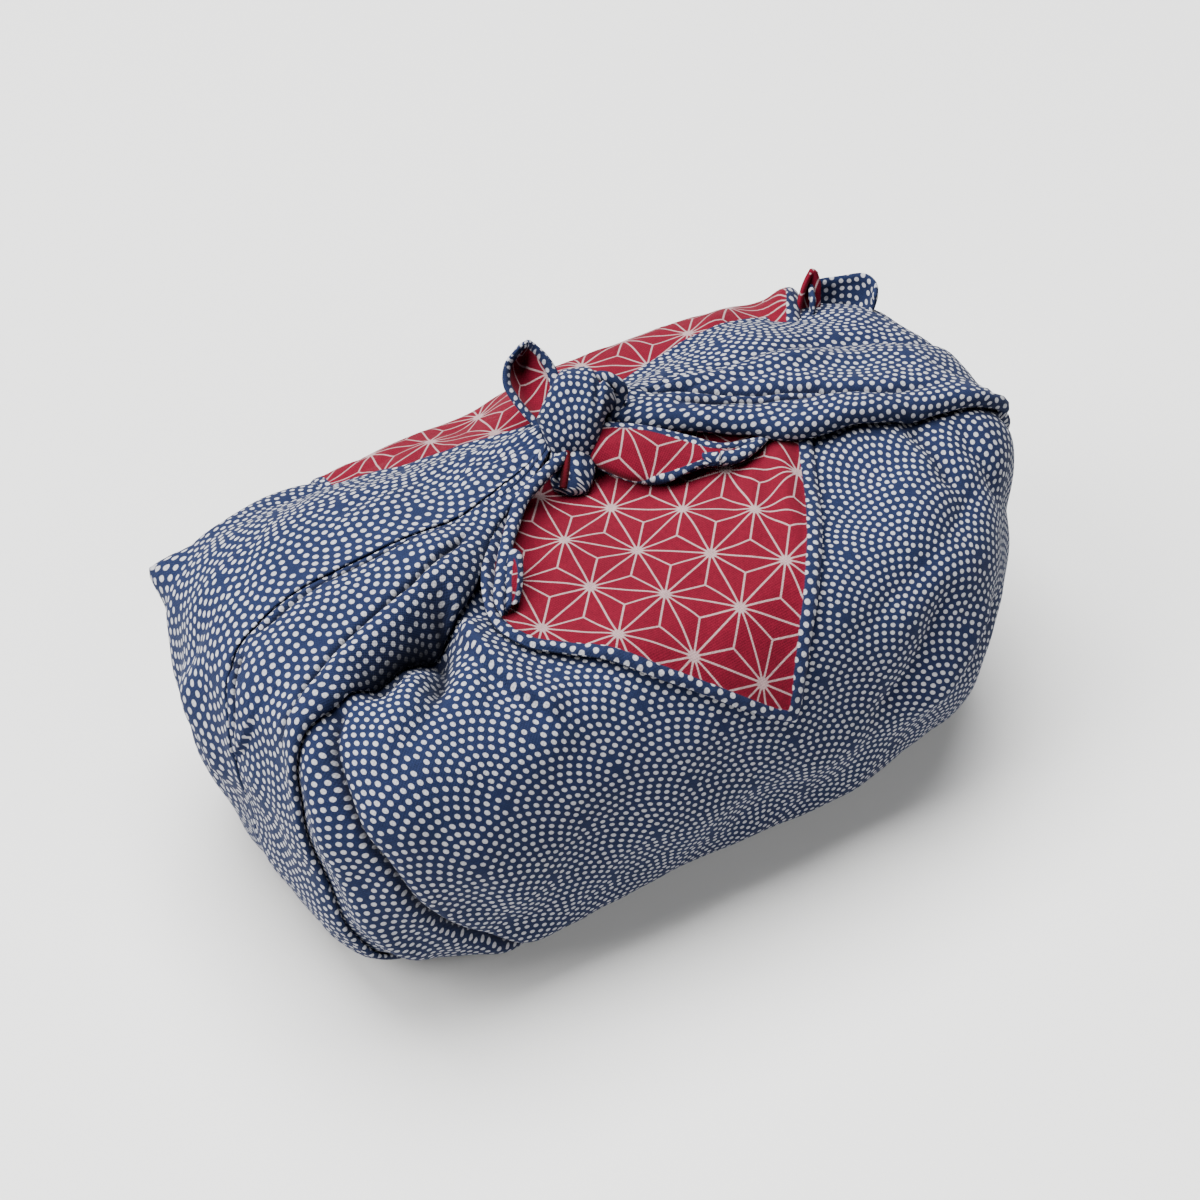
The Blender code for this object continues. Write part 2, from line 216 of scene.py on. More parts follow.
# Creases that leave the cloth in one layer. A valley or ridge is the same on both sides; a step has its high
# side to the left of its run. Depth and width are in millimetres; ends is how much of each end fades out.
CREASES = (  # kind, depth, width, ends, (azimuth, reach) points
    # the left band and the folds and hollows below it
    ("valley", 1.6, 0.9, 0.1, ((196.5, 0.41), (190, 0.54), (184.6, 0.63), (179.4, 0.74), (177, 0.86),
     (176.6, 0.98), (178.8, 1.04), (182.4, 1.09), (185.6, 1.14), (187.6, 1.24))),
    ("valley", 2.2, 1.1, 0.08, ((208, 0.45), (205, 0.59), (202, 0.71), (199.5, 0.79), (198, 0.9),
     (197.6, 0.98), (198.8, 1.03), (200.6, 1.08), (201.6, 1.13))),
    ("ridge", 3.8, 4.6, 0.15, ((209, 0.3), (210, 0.5), (209.4, 0.62), (207, 0.72), (204.2, 0.82),
     (201.8, 0.92), (200.5, 1.0), (201.4, 1.06), (203, 1.13))),
    ("ridge", 2.4, 9.0, 0.2, ((202, 0.4), (198, 0.54), (194, 0.63), (190, 0.74), (187.5, 0.86), (187, 0.98),
     (191.5, 1.09), (194, 1.24))),
    ("valley", 0.9, 12.0, 0.2, ((152, 0.3), (148, 0.6), (148, 0.9))),
    ("valley", 2.8, 1.4, 0.1, ((204.8, 1.0), (209, 1.06), (214.8, 1.15), (219, 1.25), (223, 1.36),
     (225.5, 1.48), (229.5, 1.75), (233, 2.0))),
    ("ridge", 3.2, 5.0, 0.15, ((205, 1.02), (208, 1.12), (212, 1.22), (216, 1.38), (219.5, 1.6),
     (223, 1.95))),
    ("step", 4.2, 4.0, 0.15, ((214.5, 0.64), (219, 0.72), (223, 0.78), (229, 0.87), (234.5, 0.98),
     (240, 1.06))),
    ("valley", 7.0, 3.4, 0.22, ((211, 0.62), (214, 0.72), (217.5, 0.80), (219.5, 0.90), (220.5, 1.0),
     (221, 1.1))),
    ("ridge", 1.6, 3.6, 0.2, ((217, 0.66), (221.5, 0.76), (225, 0.86), (226.5, 0.98), (227, 1.08))),
    ("ridge", 1.6, 4.0, 0.25, ((210, 0.79), (213.5, 0.86), (215.6, 0.94), (216.4, 1.03), (218, 1.14))),
    ("valley", 6.0, 3.8, 0.25, ((215, 0.70), (212, 0.78), (209.5, 0.86), (207.5, 0.93), (206, 1.0))),
    # the left end's belly, the back left shoulder and the front beside the left band
    ("ridge", 4.0, 7.0, 0.25, ((160, 1.18), (168, 1.26), (174, 1.33), (178, 1.42), (182, 1.52))),
    ("valley", 6.4, 15.0, 0.3, ((84, 0.98), (100, 0.99), (112, 1.0), (124, 1.03), (134, 1.06),
     (144, 1.12))),
    ("ridge", 1.6, 8.0, 0.25, ((224, 1.02), (229, 1.16), (234, 1.4), (238, 1.7))),
    ("valley", 1.4, 9.0, 0.3, ((240, 1.0), (246, 1.2), (254, 1.5))),
    # the right band and the puckers under it
    ("valley", 3.6, 1.9, 0.2, ((20, 0.17), (7, 0.25), (-6, 0.36), (-10, 0.46), (-11.5, 0.54), (-15, 0.62),
     (-17, 0.71), (-14, 0.84), (-11, 0.95))),
    ("valley", 2.0, 1.3, 0.2, ((-21, 0.22), (-19, 0.34), (-18.5, 0.46), (-18, 0.56), (-17, 0.66))),
    ("valley", 1.9, 3.0, 0.2, ((34, 0.15), (31, 0.35), (25, 0.6), (20, 0.85), (14, 1.05), (10, 1.3))),
    ("ridge", 1.8, 4.0, 0.2, ((20, 0.2), (16, 0.4), (11, 0.65), (7, 0.9), (6, 1.1))),
    ("valley", 2.6, 2.8, 0.2, ((-23, 0.76), (-31, 0.85), (-38, 0.94), (-41, 1.01))),
    ("valley", 1.8, 3.2, 0.25, ((-20, 0.92), (-28, 1.0), (-34, 1.1), (-37, 1.22))),
    # the front, its right end and its foot
    ("valley", 1.8, 5.0, 0.25, ((-30, 1.02), (-50, 1.04), (-66, 1.08), (-84, 1.16))),
    ("ridge", 4.0, 15.0, 0.3, ((-10, 1.1), (-18, 1.15), (-26, 1.25), (-26, 1.45), (-18, 1.6))),
    ("valley", 2.4, 4.5, 0.25, ((284, 1.5), (289, 1.4), (294, 1.3), (300, 1.2), (306, 1.14))),
    ("ridge", 1.8, 4.5, 0.25, ((292, 1.55), (297, 1.47), (303, 1.37), (311, 1.28))),
    ("valley", 1.8, 4.0, 0.25, ((298, 1.58), (304, 1.5), (311, 1.44), (318, 1.36))),
    ("ridge", 5.0, 13.0, 0.2, ((214, 1.9), (226, 1.86), (236, 1.86), (250, 1.88), (270, 1.9), (290, 1.9),
     (306, 1.86))),
    # the two ends and the top of the left band
    ("step", 1.6, 3.5, 0.15, ((-16, 1.0), (-12, 1.15), (-9, 1.35), (-5, 1.6), (0, 1.95))),
    ("ridge", 1.2, 4.0, 0.25, ((140, 1.1), (150, 1.25), (158, 1.5), (163, 1.8))),
    ("valley", 1.0, 3.0, 0.2, ((160, 1.0), (164, 1.2), (167, 1.5), (170, 1.9))),
    ("valley", 0.8, 3.0, 0.2, ((150, 0.12), (146, 0.3), (148, 0.5), (152, 0.72))),
    ("valley", 0.7, 2.6, 0.2, ((165, 0.12), (160, 0.3), (159, 0.45), (160, 0.6))),
    ("valley", 0.7, 2.4, 0.2, ((196, 0.12), (192, 0.25), (188, 0.45), (185, 0.65))),
    # the back
    ("valley", 1.6, 4.0, 0.25, ((62, 1.0), (66, 1.3), (68, 1.6), (70, 1.95))),
    ("step", 1.8, 4.0, 0.2, ((112, 1.0), (116, 1.25), (122, 1.5), (128, 1.9))),
    ("valley", 1.0, 6.0, 0.3, ((96, 1.05), (92, 1.4), (90, 1.8))),
)
CREASE_STOPS = 26
VALLEY_POWER = 1.4
STEP_EDGE = 0.8  # millimetres over which a step rises
STEP_HIGH, STEP_LOW = 0.6, 0.5  # shares of a step's depth above and below the cloth
STEP_REACH = 1.6  # how much wider its high side is
GATHERS = (  # panel, folds across it, height near the knot, reach where they have died away
    ("right", 6, 0.9, 0.75),
    ("left_top", 5, 0.6, 0.6),
    ("left_end", 3, 0.5, 0.6),
)
GATHER_SIDE = 0.08  # the share of a band's width over which its gathers come in from each side
GATHER_FROM = 0.15  # the reach from which they die away
GATHER_SWAY = (0.35, 5.0, 7.0)  # how much they wander, and how fast along and across the band
GATHER_UNEVEN = (0.2, 1.7)  # how much their widths differ, and how often across the band
GATHER_POWER = 0.7
GATHER_LEVEL = 0.6  # what keeps them about level with the band
TIP_AZIMUTH, TIP_REACH = 140, 1.2  # the tucked corner at the back left
TIP_HEIGHT, TIP_RADIUS = 6.5, 8.0
RIPPLES = ((46.0, 0.80), (24.0, 0.45), (11.0, 0.12))  # wavelengths and heights of the cloth's unevenness
WAVES = 7  # directions in which each ripple runs
WAVE_SPREAD = (0.7, 1.4)  # shares of the wavelength that the waves are drawn from
WAVE_SHARE = 2.2  # a wave's height is the ripple's over this
RIPPLES_FROM = (0.1, 0.5)  # reaches over which the ripples come in
RELIEF_ENDS = (1.9, 2.15)  # reaches over which all relief dies away under the bundle


def smooth(x, low, high):
    t = np.clip((x - low) / (high - low), 0, 1)
    return t * t * (3 - 2 * t)


def rise_and_fall(x, low, full, fading, high):
    """Rises from 0 to 1 between the first two places, and falls back to 0 between the last two."""
    return smooth(x, low, full) * (1 - smooth(x, fading, high))


def spline_points(points, count, places=None):
    """Points read evenly along a smooth line through a few given ones, with their places on it."""
    points = np.array(points, float)
    places = np.arange(len(points), dtype=float) if places is None else places
    reads = np.linspace(0, places[-1], count)
    return np.stack([along(reads, list(zip(places, column))) for column in points.T], 1)


def leg_lengths(points, axis=0):
    return np.linalg.norm(np.diff(points, axis=axis), axis=-1)


def running_sums(legs, axis=0):
    """Sums of the legs so far along an axis, from 0."""
    sums = np.cumsum(legs, axis)
    return np.concatenate([0 * sums.take([0], axis), sums], axis)


def distances(points):
    """How far each point lies along the line through them all."""
    return running_sums(leg_lengths(points))


def overlap_azimuths(reaches):
    """The overlap lines' azimuths, and the first line's again after a full turn."""
    lines = [along(reaches, overlap.line) for overlap in OVERLAPS]
    return lines + [lines[0] + 360.0]


def band_height(panel, azimuth, reach, lines):
    """Height of a gathered band above the firm form."""
    if panel not in BANDS:
        return np.zeros(np.broadcast(azimuth, reach).shape)
    band = BANDS[panel]
    first, last = lines[band.first], lines[band.last]
    across = np.clip(2 * (azimuth - first) / (last - first) - 1, -1, 1)
    edge = np.where(across < 0, *band.edges)
    return along(reach, band.heights) * (edge + (1 - edge) * (1 - np.abs(across) ** 2.4))


def overlap_path(zone, overlap, high, low, layer, strength):
    """Across an overlap whose high side is at the lower azimuths: distance along the ring and height."""
    lip = np.minimum(np.maximum(high - low, layer) / 2, LIP_SHARE * zone)
    half = overlap / 2
    edge = half - lip
    under = high - 2 * lip
    # along the upper layer, round its lip, back under it, and out again along the lower layer
    x = [-zone, -0.66 * zone, edge - 0.45 * (edge + zone), edge]
    z = [high, high + 0.02 * lip, high + 0.06 * lip, high + 0.1 * lip]
    for angle in np.radians([54, 18, -18, -54, -90]):
        x.append(edge + lip * math.cos(angle))
        z.append(high - lip + lip * math.sin(angle) * (1.1 if angle > 0 else 1.0))
    floor = np.minimum(under - 0.35 * layer, low)
    x += [-0.2 * half, -half, -half - 0.4 * layer, -half, 0.6 * half, 0.5 * (half + zone), zone]
    z += [under - 0.05, under - 0.1, (under - 0.1 + floor) / 2, floor, floor, 0.6 * low + 0.4 * floor, low]
    x, z = np.stack(x, 0), np.stack(z, 0)
    share = np.linspace(0, 1, ZONE)[:, None]
    flat_x = zone * (2 * share - 1)
    flat_z = high + (low - high) * share**2 * (3 - 2 * share)
    return flat_x + (x - flat_x) * strength, flat_z + (z - flat_z) * strength


def body_layout(reaches):
    """Azimuth and height of every column round the bundle, and the columns at which the overlaps begin."""
    lines = overlap_azimuths(reaches)
    degrees = [polar_point(line + 0.5, reaches) - polar_point(line - 0.5, reaches) for line in lines]
    speeds = [np.linalg.norm(degree, axis=-1) for degree in degrees]  # millimetres to a degree
    gaps = [(lines[k + 1] - lines[k]) * (speeds[k + 1] + speeds[k]) / 2 for k in range(len(PANELS))]
    azimuths, heights, starts, zones = [], [], [], []
    for k, fold in enumerate(OVERLAPS):
        zones.append(np.minimum(fold.half_zone, ZONE_SHARE * np.minimum(gaps[k], gaps[k - 1])) / speeds[k])
    zones.append(zones[0])
    for k, fold in enumerate(OVERLAPS):
        zone = zones[k] * speeds[k]
        shrink = zone / fold.half_zone
        before = band_height(PANELS[k - 1], lines[k] - zones[k], reaches, lines)
        after = band_height(PANELS[k], lines[k] + zones[k], reaches, lines)
        strength = along(reaches, fold.strengths)
        high, low = (before, after) if fold.top < 0 else (after, before)
        x, z = overlap_path(zone, fold.overlap * shrink, high, low, fold.layer * shrink, strength)
        if fold.top > 0:
            x, z = -x[::-1], z[::-1]
        starts.append(len(azimuths))
        azimuths += list(lines[k] + x / speeds[k])
        heights += list(z)
        first, last = lines[k] + zones[k], lines[k + 1] - zones[k + 1]
        count, crowding = PANEL_COLUMNS[PANELS[k]]
        for column in range(1, count + 1):
            azimuth = first + (last - first) * (column / (count + 1)) ** crowding
            azimuths.append(azimuth)
            heights.append(band_height(PANELS[k], azimuth, reaches, lines))
    return np.array(azimuths), np.array(heights), starts


def nearest_on(points, line):
    """Where points lie nearest on a line of stops: distance, number of the leg, share of it, and offset."""
    near = np.full(points.shape[:-1], np.inf)
    number = np.zeros(near.shape, int)
    share = np.zeros(near.shape)
    away = np.zeros(points.shape)
    for i, (start, leg) in enumerate(zip(line, np.diff(line, axis=0))):
        if not leg.any():
            continue
        t = np.clip((points - start) @ leg / (leg @ leg), 0, 1)
        offset = points - start - t[..., None] * leg
        distance = np.linalg.norm(offset, axis=-1)
        closer = distance < near
        near[closer] = distance[closer]
        number[closer] = i
        share[closer] = t[closer]
        away[closer] = offset[closer]
    return near, number, share, away


def crease_heights(points):
    """The creases' height at points on the firm form, and the painted shade inside the sharp ones."""
    height = np.zeros(points.shape[:-1])
    shade = np.zeros(points.shape[:-1])
    normals = firm_normal(points)
    for kind, depth, width, ends, run in CREASES:
        stops = spline_points(run, CREASE_STOPS, distances(np.array(run, float)))
        line = polar_point(*stops.T)
        near, number, share, away = nearest_on(points, line)
        share = (number + share) / (len(line) - 1)
        fade = rise_and_fall(share, 0, ends, 1 - ends, 1)
        if kind == "valley":
            shape = -np.exp(-((near / width) ** VALLEY_POWER))
            # painted shade: a sharp valley's colour is darkened towards its middle, where shade falls
            sharp = min(max(depth / width - 0.5, 0.0), 1.0)
            dark = sharp * fade * np.exp(-((near / (0.5 * width + 0.25)) ** 2))
            shade = np.maximum(shade, dark)
        elif kind == "ridge":
            shape = np.exp(-((near / width) ** 2))
        else:
            side = (np.cross(normals, np.diff(line, axis=0)[number]) * away).sum(-1)
            rise = 0.5 + 0.5 * np.tanh(near * np.sign(side) / STEP_EDGE)
            high = STEP_HIGH * np.exp(-((near / (STEP_REACH * width)) ** 2))
            low = STEP_LOW * np.exp(-near / width)
            shape = rise * high - (1 - rise) * low
        height += depth * fade * shape
    return height, shade


def ripple_heights(points, seed):
    """Seeded sums of waves in many directions."""
    draw = np.random.default_rng(seed)
    height = np.zeros(points.shape[:-1])
    for wavelength, amount in RIPPLES:
        for _ in range(WAVES):
            turns = normalised(draw.normal(size=3)) * 2 * math.pi
            turns = turns / (wavelength * draw.uniform(*WAVE_SPREAD))
            height += amount / WAVE_SHARE * np.sin(points @ turns + draw.uniform(0, 2 * math.pi))
    return height


def gather_heights(azimuth, reach, lines):
    """Fine folds that fan out from the knot over the bands."""
    height = np.zeros(azimuth.shape)
    sway, sway_along, sway_across = GATHER_SWAY
    uneven, times = GATHER_UNEVEN
    for panel, folds, amount, last_reach in GATHERS:
        first, last = lines[PANELS.index(panel):][:2]
        across = (azimuth - first) / (last - first)
        inside = rise_and_fall(across, 0, GATHER_SIDE, 1 - GATHER_SIDE, 1)
        wave = across * folds + sway * np.sin(sway_along * reach + sway_across * across)
        wave += uneven * np.sin(2 * math.pi * across * times)
        fold = np.abs(np.sin(math.pi * wave)) ** GATHER_POWER - GATHER_LEVEL
        height += amount * fold * inside * (1 - smooth(reach, GATHER_FROM, last_reach))
    return height


FLATTEN_ROUNDS = 500
FLATTEN_PACE = 1.5  # how far past the average pull a point moves in each round


def flatten(grid):
    """A grid of points in space laid flat with its lengths kept as well as they can be."""
    middle = grid.shape[0] // 2
    u = running_sums(leg_lengths(grid))
    u -= u[middle]
    v = -running_sums(leg_lengths(grid, 1), 1)
    v += v[middle].mean() - v.mean(1, keepdims=True)
    flat = np.stack([u, v], -1)
    pairs = []
    for i, j in ((1, 0), (0, 1), (1, 1), (1, -1), (3, 0), (0, 3)):
        rows, columns = grid.shape[:2]
        first = (slice(0, rows - i), slice(max(0, -j), columns - max(0, j)))
        second = (slice(i, rows), slice(max(0, j), columns + min(0, j)))
        pairs.append((first, second, np.linalg.norm(grid[first] - grid[second], axis=-1)))
    count = np.zeros(grid.shape[:2])
    for first, second, _ in pairs:
        count[first] += 1
        count[second] += 1
    for _ in range(FLATTEN_ROUNDS):
        move = np.zeros(flat.shape)
        for first, second, length in pairs:
            apart = flat[second] - flat[first]
            now = np.maximum(np.linalg.norm(apart, axis=-1), 1e-6)
            pull = apart * (0.5 * (now - length) / now)[..., None]
            move[first] += pull
            move[second] -= pull
        flat += FLATTEN_PACE * move / count[..., None]
    return flat


def read_grid(grid, i, j):
    """Bilinear reading of a grid at fractional indices."""
    i = np.clip(i, 0, grid.shape[0] - 1.001)
    j = np.clip(j, 0, grid.shape[1] - 1.001)
    a, b = i.astype(int), j.astype(int)
    s, t = (i - a)[..., None], (j - b)[..., None]
    return (
        grid[a, b] * (1 - s) * (1 - t) + grid[a + 1, b] * s * (1 - t)
        + grid[a, b + 1] * (1 - s) * t + grid[a + 1, b + 1] * s * t
    )


def to_row_frame(points):
    return (np.asarray(points) - np.array(ROW_ORIGIN)) * MM


Chart = namedtuple("Chart", "turn shift_u shift_v scale")  # how a print lies, in degrees and millimetres
CHARTS = {
    "right": Chart(-62.0, 3.0, 5.0, 1.0),
    "back": Chart(180.0, 4.0, 9.0, 1.0),
    "left_top": Chart(84.0, 11.0, 2.0, 0.88),
    "left_end": Chart(78.0, 5.0, 8.0, 1.0),
    "front": Chart(0.0, 2.0, 6.5, 1.12),
}
CHART_ACROSS = 44  # columns of the coarse grid that is laid flat
CHART_STEP = 3  # rows of the skin to one of that grid's
LATERAL_SPAN = 4  # columns that give the way on where a print runs on past its panel


def turned_flat(flat, turn, shift_u=0.0, shift_v=0.0, scale=1.0):
    angle = math.radians(turn)
    u = flat[..., 0] * math.cos(angle) - flat[..., 1] * math.sin(angle) + shift_u
    v = flat[..., 0] * math.sin(angle) + flat[..., 1] * math.cos(angle) + shift_v
    return np.stack([u, v], -1) * scale


def panel_prints(reaches, azimuths, points, starts):
    """Each panel's place on the flat cloth, for its columns between the two seams that bound it."""
    lines = overlap_azimuths(reaches)
    columns = len(azimuths)
    starts = starts + [starts[0] + columns]
    seams = [
        start + (SEAM if fold.top < 0 else ZONE - 1 - SEAM)
        for start, fold in zip(starts, OVERLAPS + OVERLAPS[:1])
    ]
    shares = np.linspace(0, 1, CHART_ACROSS)[:, None]
    some = reaches[::CHART_STEP]
    prints = []
    for k, panel in enumerate(PANELS):
        width = lines[k + 1] - lines[k]
        azimuth = (lines[k] + width * shares)[:, ::CHART_STEP]
        base = polar_point(azimuth, some)
        band = band_height(panel, azimuth, some, [line[::CHART_STEP] for line in lines])
        flat = turned_flat(flatten(base + firm_normal(base) * band[..., None]), *CHARTS[panel])
        index = np.arange(seams[k], seams[k + 1] + 1)
        here = azimuths[index % columns] + 360.0 * (index[:, None] >= columns)
        across = (here - lines[k]) / width * (CHART_ACROSS - 1)
        uv = read_grid(flat, across, np.arange(len(reaches)) / CHART_STEP)
        first, last = starts[k] + ZONE - 1 - seams[k], starts[k + 1] - seams[k]
        wrapped = points[index % columns]
        for inner, end, step in ((first, -1, -1), (last, len(index), 1)):
            lateral = normalised(uv[inner] - uv[inner - LATERAL_SPAN * step])
            walked = np.zeros(len(reaches))
            for column in range(inner + step, end, step):
                walked = walked + np.linalg.norm(wrapped[column] - wrapped[column - step], axis=-1)
                uv[column] = uv[inner] + lateral * walked[:, None] * CHARTS[panel].scale
        prints.append((index, uv))
    return prints


def add_uv(mesh, name, values):
    layer = mesh.uv_layers.new(name=name)
    layer.uv.foreach_set("vector", np.ascontiguousarray(values, np.float32).ravel())
    return layer


def add_object(name, data):
    added = bpy.data.objects.new(name, data)
    bpy.context.scene.collection.objects.link(added)
    return added


def mesh_piece(name, points, faces, materials):
    mesh = bpy.data.meshes.new(name)
    mesh.from_pydata(to_row_frame(points).tolist(), [], faces)
    for material in materials:
        mesh.materials.append(material)
    mesh.shade_smooth()
    piece = add_object(name, mesh)
    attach(piece, "root")
    return piece


def strip_corners(near, far):
    """Two neighbouring columns' values, at the corners of the faces between them."""
    quads = np.stack([near[:-1], near[1:], far[1:], far[:-1]], 1).reshape(-1, 2)
    return np.concatenate([quads, near[[0, 0]], far[[0]], near[[-1, -1]], far[[-1]]])


def closed_skin(name, points, ends, strips, material):
    """A skin over columns of points and a point at each end. A strip is two columns and their prints."""
    columns, rows = points.shape[:2]
    first_end = columns * rows
    row = np.arange(rows - 1)
    faces = []
    for near, far, _, _ in strips:
        here, there = int(near) * rows, int(far) * rows
        faces += np.stack([here + row, here + row + 1, there + row + 1, there + row], 1).tolist()
        faces += [[first_end, here, there], [here + rows - 1, first_end + 1, there + rows - 1]]
    piece = mesh_piece(name, np.concatenate([points.reshape(-1, 3), ends]), faces, [material])
    corners = np.concatenate([strip_corners(near, far) for _, _, near, far in strips])
    add_uv(piece.data, "Print", corners * MM)
    return piece


def body_reaches():
    """Reaches of the skin's rows, so that they lie evenly on the front and the left end."""
    fine = np.linspace(FIRST_REACH, FOOT_REACH, 400)
    walked = sum(distances(polar_point(azimuth, fine)) for azimuth in SPREAD_AZIMUTHS)
    upper = np.interp(np.linspace(0, walked[-1], TOP_ROWS + SIDE_ROWS), walked, fine)
    return np.concatenate([upper, np.linspace(FOOT_REACH, LAST_REACH, UNDER_ROWS + 1)[1:]])


def outer_cloth(material):
    """The outer cloth round the box: one closed skin, with its panels overlapping along the fold lines."""
    reaches = body_reaches()
    azimuths, heights, starts = body_layout(reaches)
    lines = overlap_azimuths(reaches)
    reach = np.broadcast_to(reaches, azimuths.shape)
    firm = polar_point(azimuths, reach)
    creased, shade = crease_heights(firm)
    from_tip = np.linalg.norm(firm - polar_point(TIP_AZIMUTH, TIP_REACH), axis=-1)
    relief = creased + gather_heights((azimuths - lines[0]) % 360.0 + lines[0], reach, lines)
    relief += ripple_heights(firm, SEED) * smooth(reach, *RIPPLES_FROM)
    relief += TIP_HEIGHT * np.maximum(0, 1 - from_tip / TIP_RADIUS) ** 1.2
    relief *= 1 - smooth(reach, *RELIEF_ENDS)
    points = firm + firm_normal(firm) * (heights + relief)[..., None]
    points[..., 2] = np.maximum(points[..., 2] - BASE_FLAT, 0.0)
    columns = len(azimuths)
    strips = []
    for index, uv in panel_prints(reaches, azimuths, points, starts):
        strips += zip(index[:-1] % columns, index[1:] % columns, uv[:-1], uv[1:])
    ends = [points[:, 0].mean(0) + (0.0, 0.0, 1.0), (0.0, 0.0, 0.0)]
    piece = closed_skin("outer_cloth_skin", points, ends, strips, material)
    # the painted shade inside sharp creases goes to the material in a layer of its own
    shade = np.stack([shade, shade], -1)
    painted_shade_corners = [strip_corners(shade[near], shade[far]) for near, far, _, _ in strips]
    add_uv(piece.data, "Crease", np.concatenate(painted_shade_corners))
    return piece


# ---------------------------------------------------------------- materials


def node_maths(operation, swapped=False):
    """An operator between values that adds the node for it."""

    def operator(self, other):
        values = (other, self) if swapped else (self, other)
        return self.nodes.maths(operation, *values)

    return operator


class Value:
    """A shader node's output; adding, multiplying and so on make the nodes for it."""

    def __init__(self, nodes, socket):
        self.nodes = nodes
        self.socket = socket

    __add__ = node_maths("ADD")
    __sub__ = node_maths("SUBTRACT")
    __rsub__ = node_maths("SUBTRACT", swapped=True)
    __mul__ = node_maths("MULTIPLY")
    __truediv__ = node_maths("DIVIDE")
    __rtruediv__ = node_maths("DIVIDE", swapped=True)


class Nodes:
    """Short calls for building a material."""

    def __init__(self, name):
        self.material = bpy.data.materials.new(name)
        self.material.use_nodes = True
        self.tree = self.material.node_tree
        self.shader = self.tree.nodes["Principled BSDF"]

    def node(self, kind, output, inputs, **settings):
        """Adds a node, gives its inputs their values or links, and returns one of its outputs."""
        node = self.tree.nodes.new(kind)
        for key, value in settings.items():
            setattr(node, key, value)
        for key, value in inputs.items():
            self.link(value, node.inputs[key])
        return Value(self, node.outputs[output])

    def link(self, source, socket):
        if isinstance(source, Value):
            self.tree.links.new(source.socket, socket)
        else:
            socket.default_value = source

    def finish(self, **inputs):
        """Sets the shader's inputs, named with _ for a space."""
        for key, value in inputs.items():
            self.link(value, self.shader.inputs[key.replace("_", " ")])
        return self.material

    def maths(self, operation, *values):
        return self.node("ShaderNodeMath", 0, dict(enumerate(values)), operation=operation)

    def step(self, value, low, high):
        inputs = {"Value": value, "From Min": low, "From Max": high}
        return self.node("ShaderNodeMapRange", "Result", inputs, interpolation_type="SMOOTHSTEP")

    def noise(self, vector, scale, detail=2.0):
        inputs = {"Scale": scale, "Detail": detail, "Vector": vector}
        return self.node("ShaderNodeTexNoise", "Fac", inputs)

    def mix(self, share, first, second):
        return self.node("ShaderNodeMix", 2, {0: share, 6: first, 7: second}, data_type="RGBA")

    def coordinates(self, layer):
        """The two coordinates of a UV layer."""
        place = self.node("ShaderNodeUVMap", "UV", {}, uv_map=layer)
        first = self.node("ShaderNodeSeparateXYZ", 0, {0: place})
        return first, Value(self, first.socket.node.outputs[1])

    def millimetres(self, layer="Print"):
        return [part * (1 / MM) for part in self.coordinates(layer)]


FAN_WIDTH = 29.3
ARC_PITCH = 2.3
SMALLEST_ARC = 0.3
DOT_RADIUS = 0.65
DOT_BLUR = 0.12
SIDE_GAP = 1.05  # from the last dot of an arc to the next fan of its row
LEAST_SLANT = 0.4
STAR_PITCH = 17.5
STAR_LINE = 0.22
STAR_WIDENING = 0.34  # how much wider the lines are in the middle of a star
STAR_HEART = 2.2
LINE_BLUR = 0.09
THREAD = 0.8
NAVY = (0.0085, 0.0135, 0.040, 1.0)
DOT_WHITE = (0.325, 0.325, 0.35, 1.0)
RED = (0.095, 0.0022, 0.0105, 1.0)
LINE_WHITE = (0.26, 0.175, 0.18, 1.0)
# painted shade: a darker red for the lining deep in a fold
PAINTED_SHADE_RED = (0.06, 0.002, 0.006)
# painted shade: how far a sharp crease's colour is darkened, and the dark colour it goes to
CREASE_PAINTED_SHADE = 0.94
CREASE_PAINTED_SHADE_COLOUR = (0.0015, 0.002, 0.006, 1.0)
BLUE_SHEEN = (0.75, 0.82, 1.0, 1.0)
RED_SHEEN = (1.0, 0.8, 0.8, 1.0)
HEM_SHEEN = (1.0, 0.85, 0.88, 1.0)
HEM = 2.8
HEM_BLUR = 0.12
HEM_DOTS = (4.0, 3.0)  # how far the hem's dots are shifted
HEM_RISE = 0.9  # from a sheet's edge to the hem's full height
HEM_FALL = 0.5  # how far before its inner edge the hem begins to fall
EDGE_ROUND = 0.8  # how far in from its edge a sheet is rounded off
EVEN_SHADE = 0.74
THREAD_SHADE = 0.13
MOTTLE_SCALE = 900.0
MOTTLE = 0.34
CLOUD_SCALE = 60.0
CLOUDS = 0.22
SLUBS = ((0.5, 4.0), (4.0, 0.5))  # how often they come per millimetre, one way and the other
SLUB_SHADE = 0.62
FUZZ_SCALE = 420.0
FUZZ_DEPTH = 1.6  # against the threads
THREAD_DEPTH = 0.5
BUMP_DISTANCE = 0.0002  # metres
BUMP_STRENGTH = 0.35
ROUGHNESS = 0.80
ROUGHNESS_SPREAD = 0.14


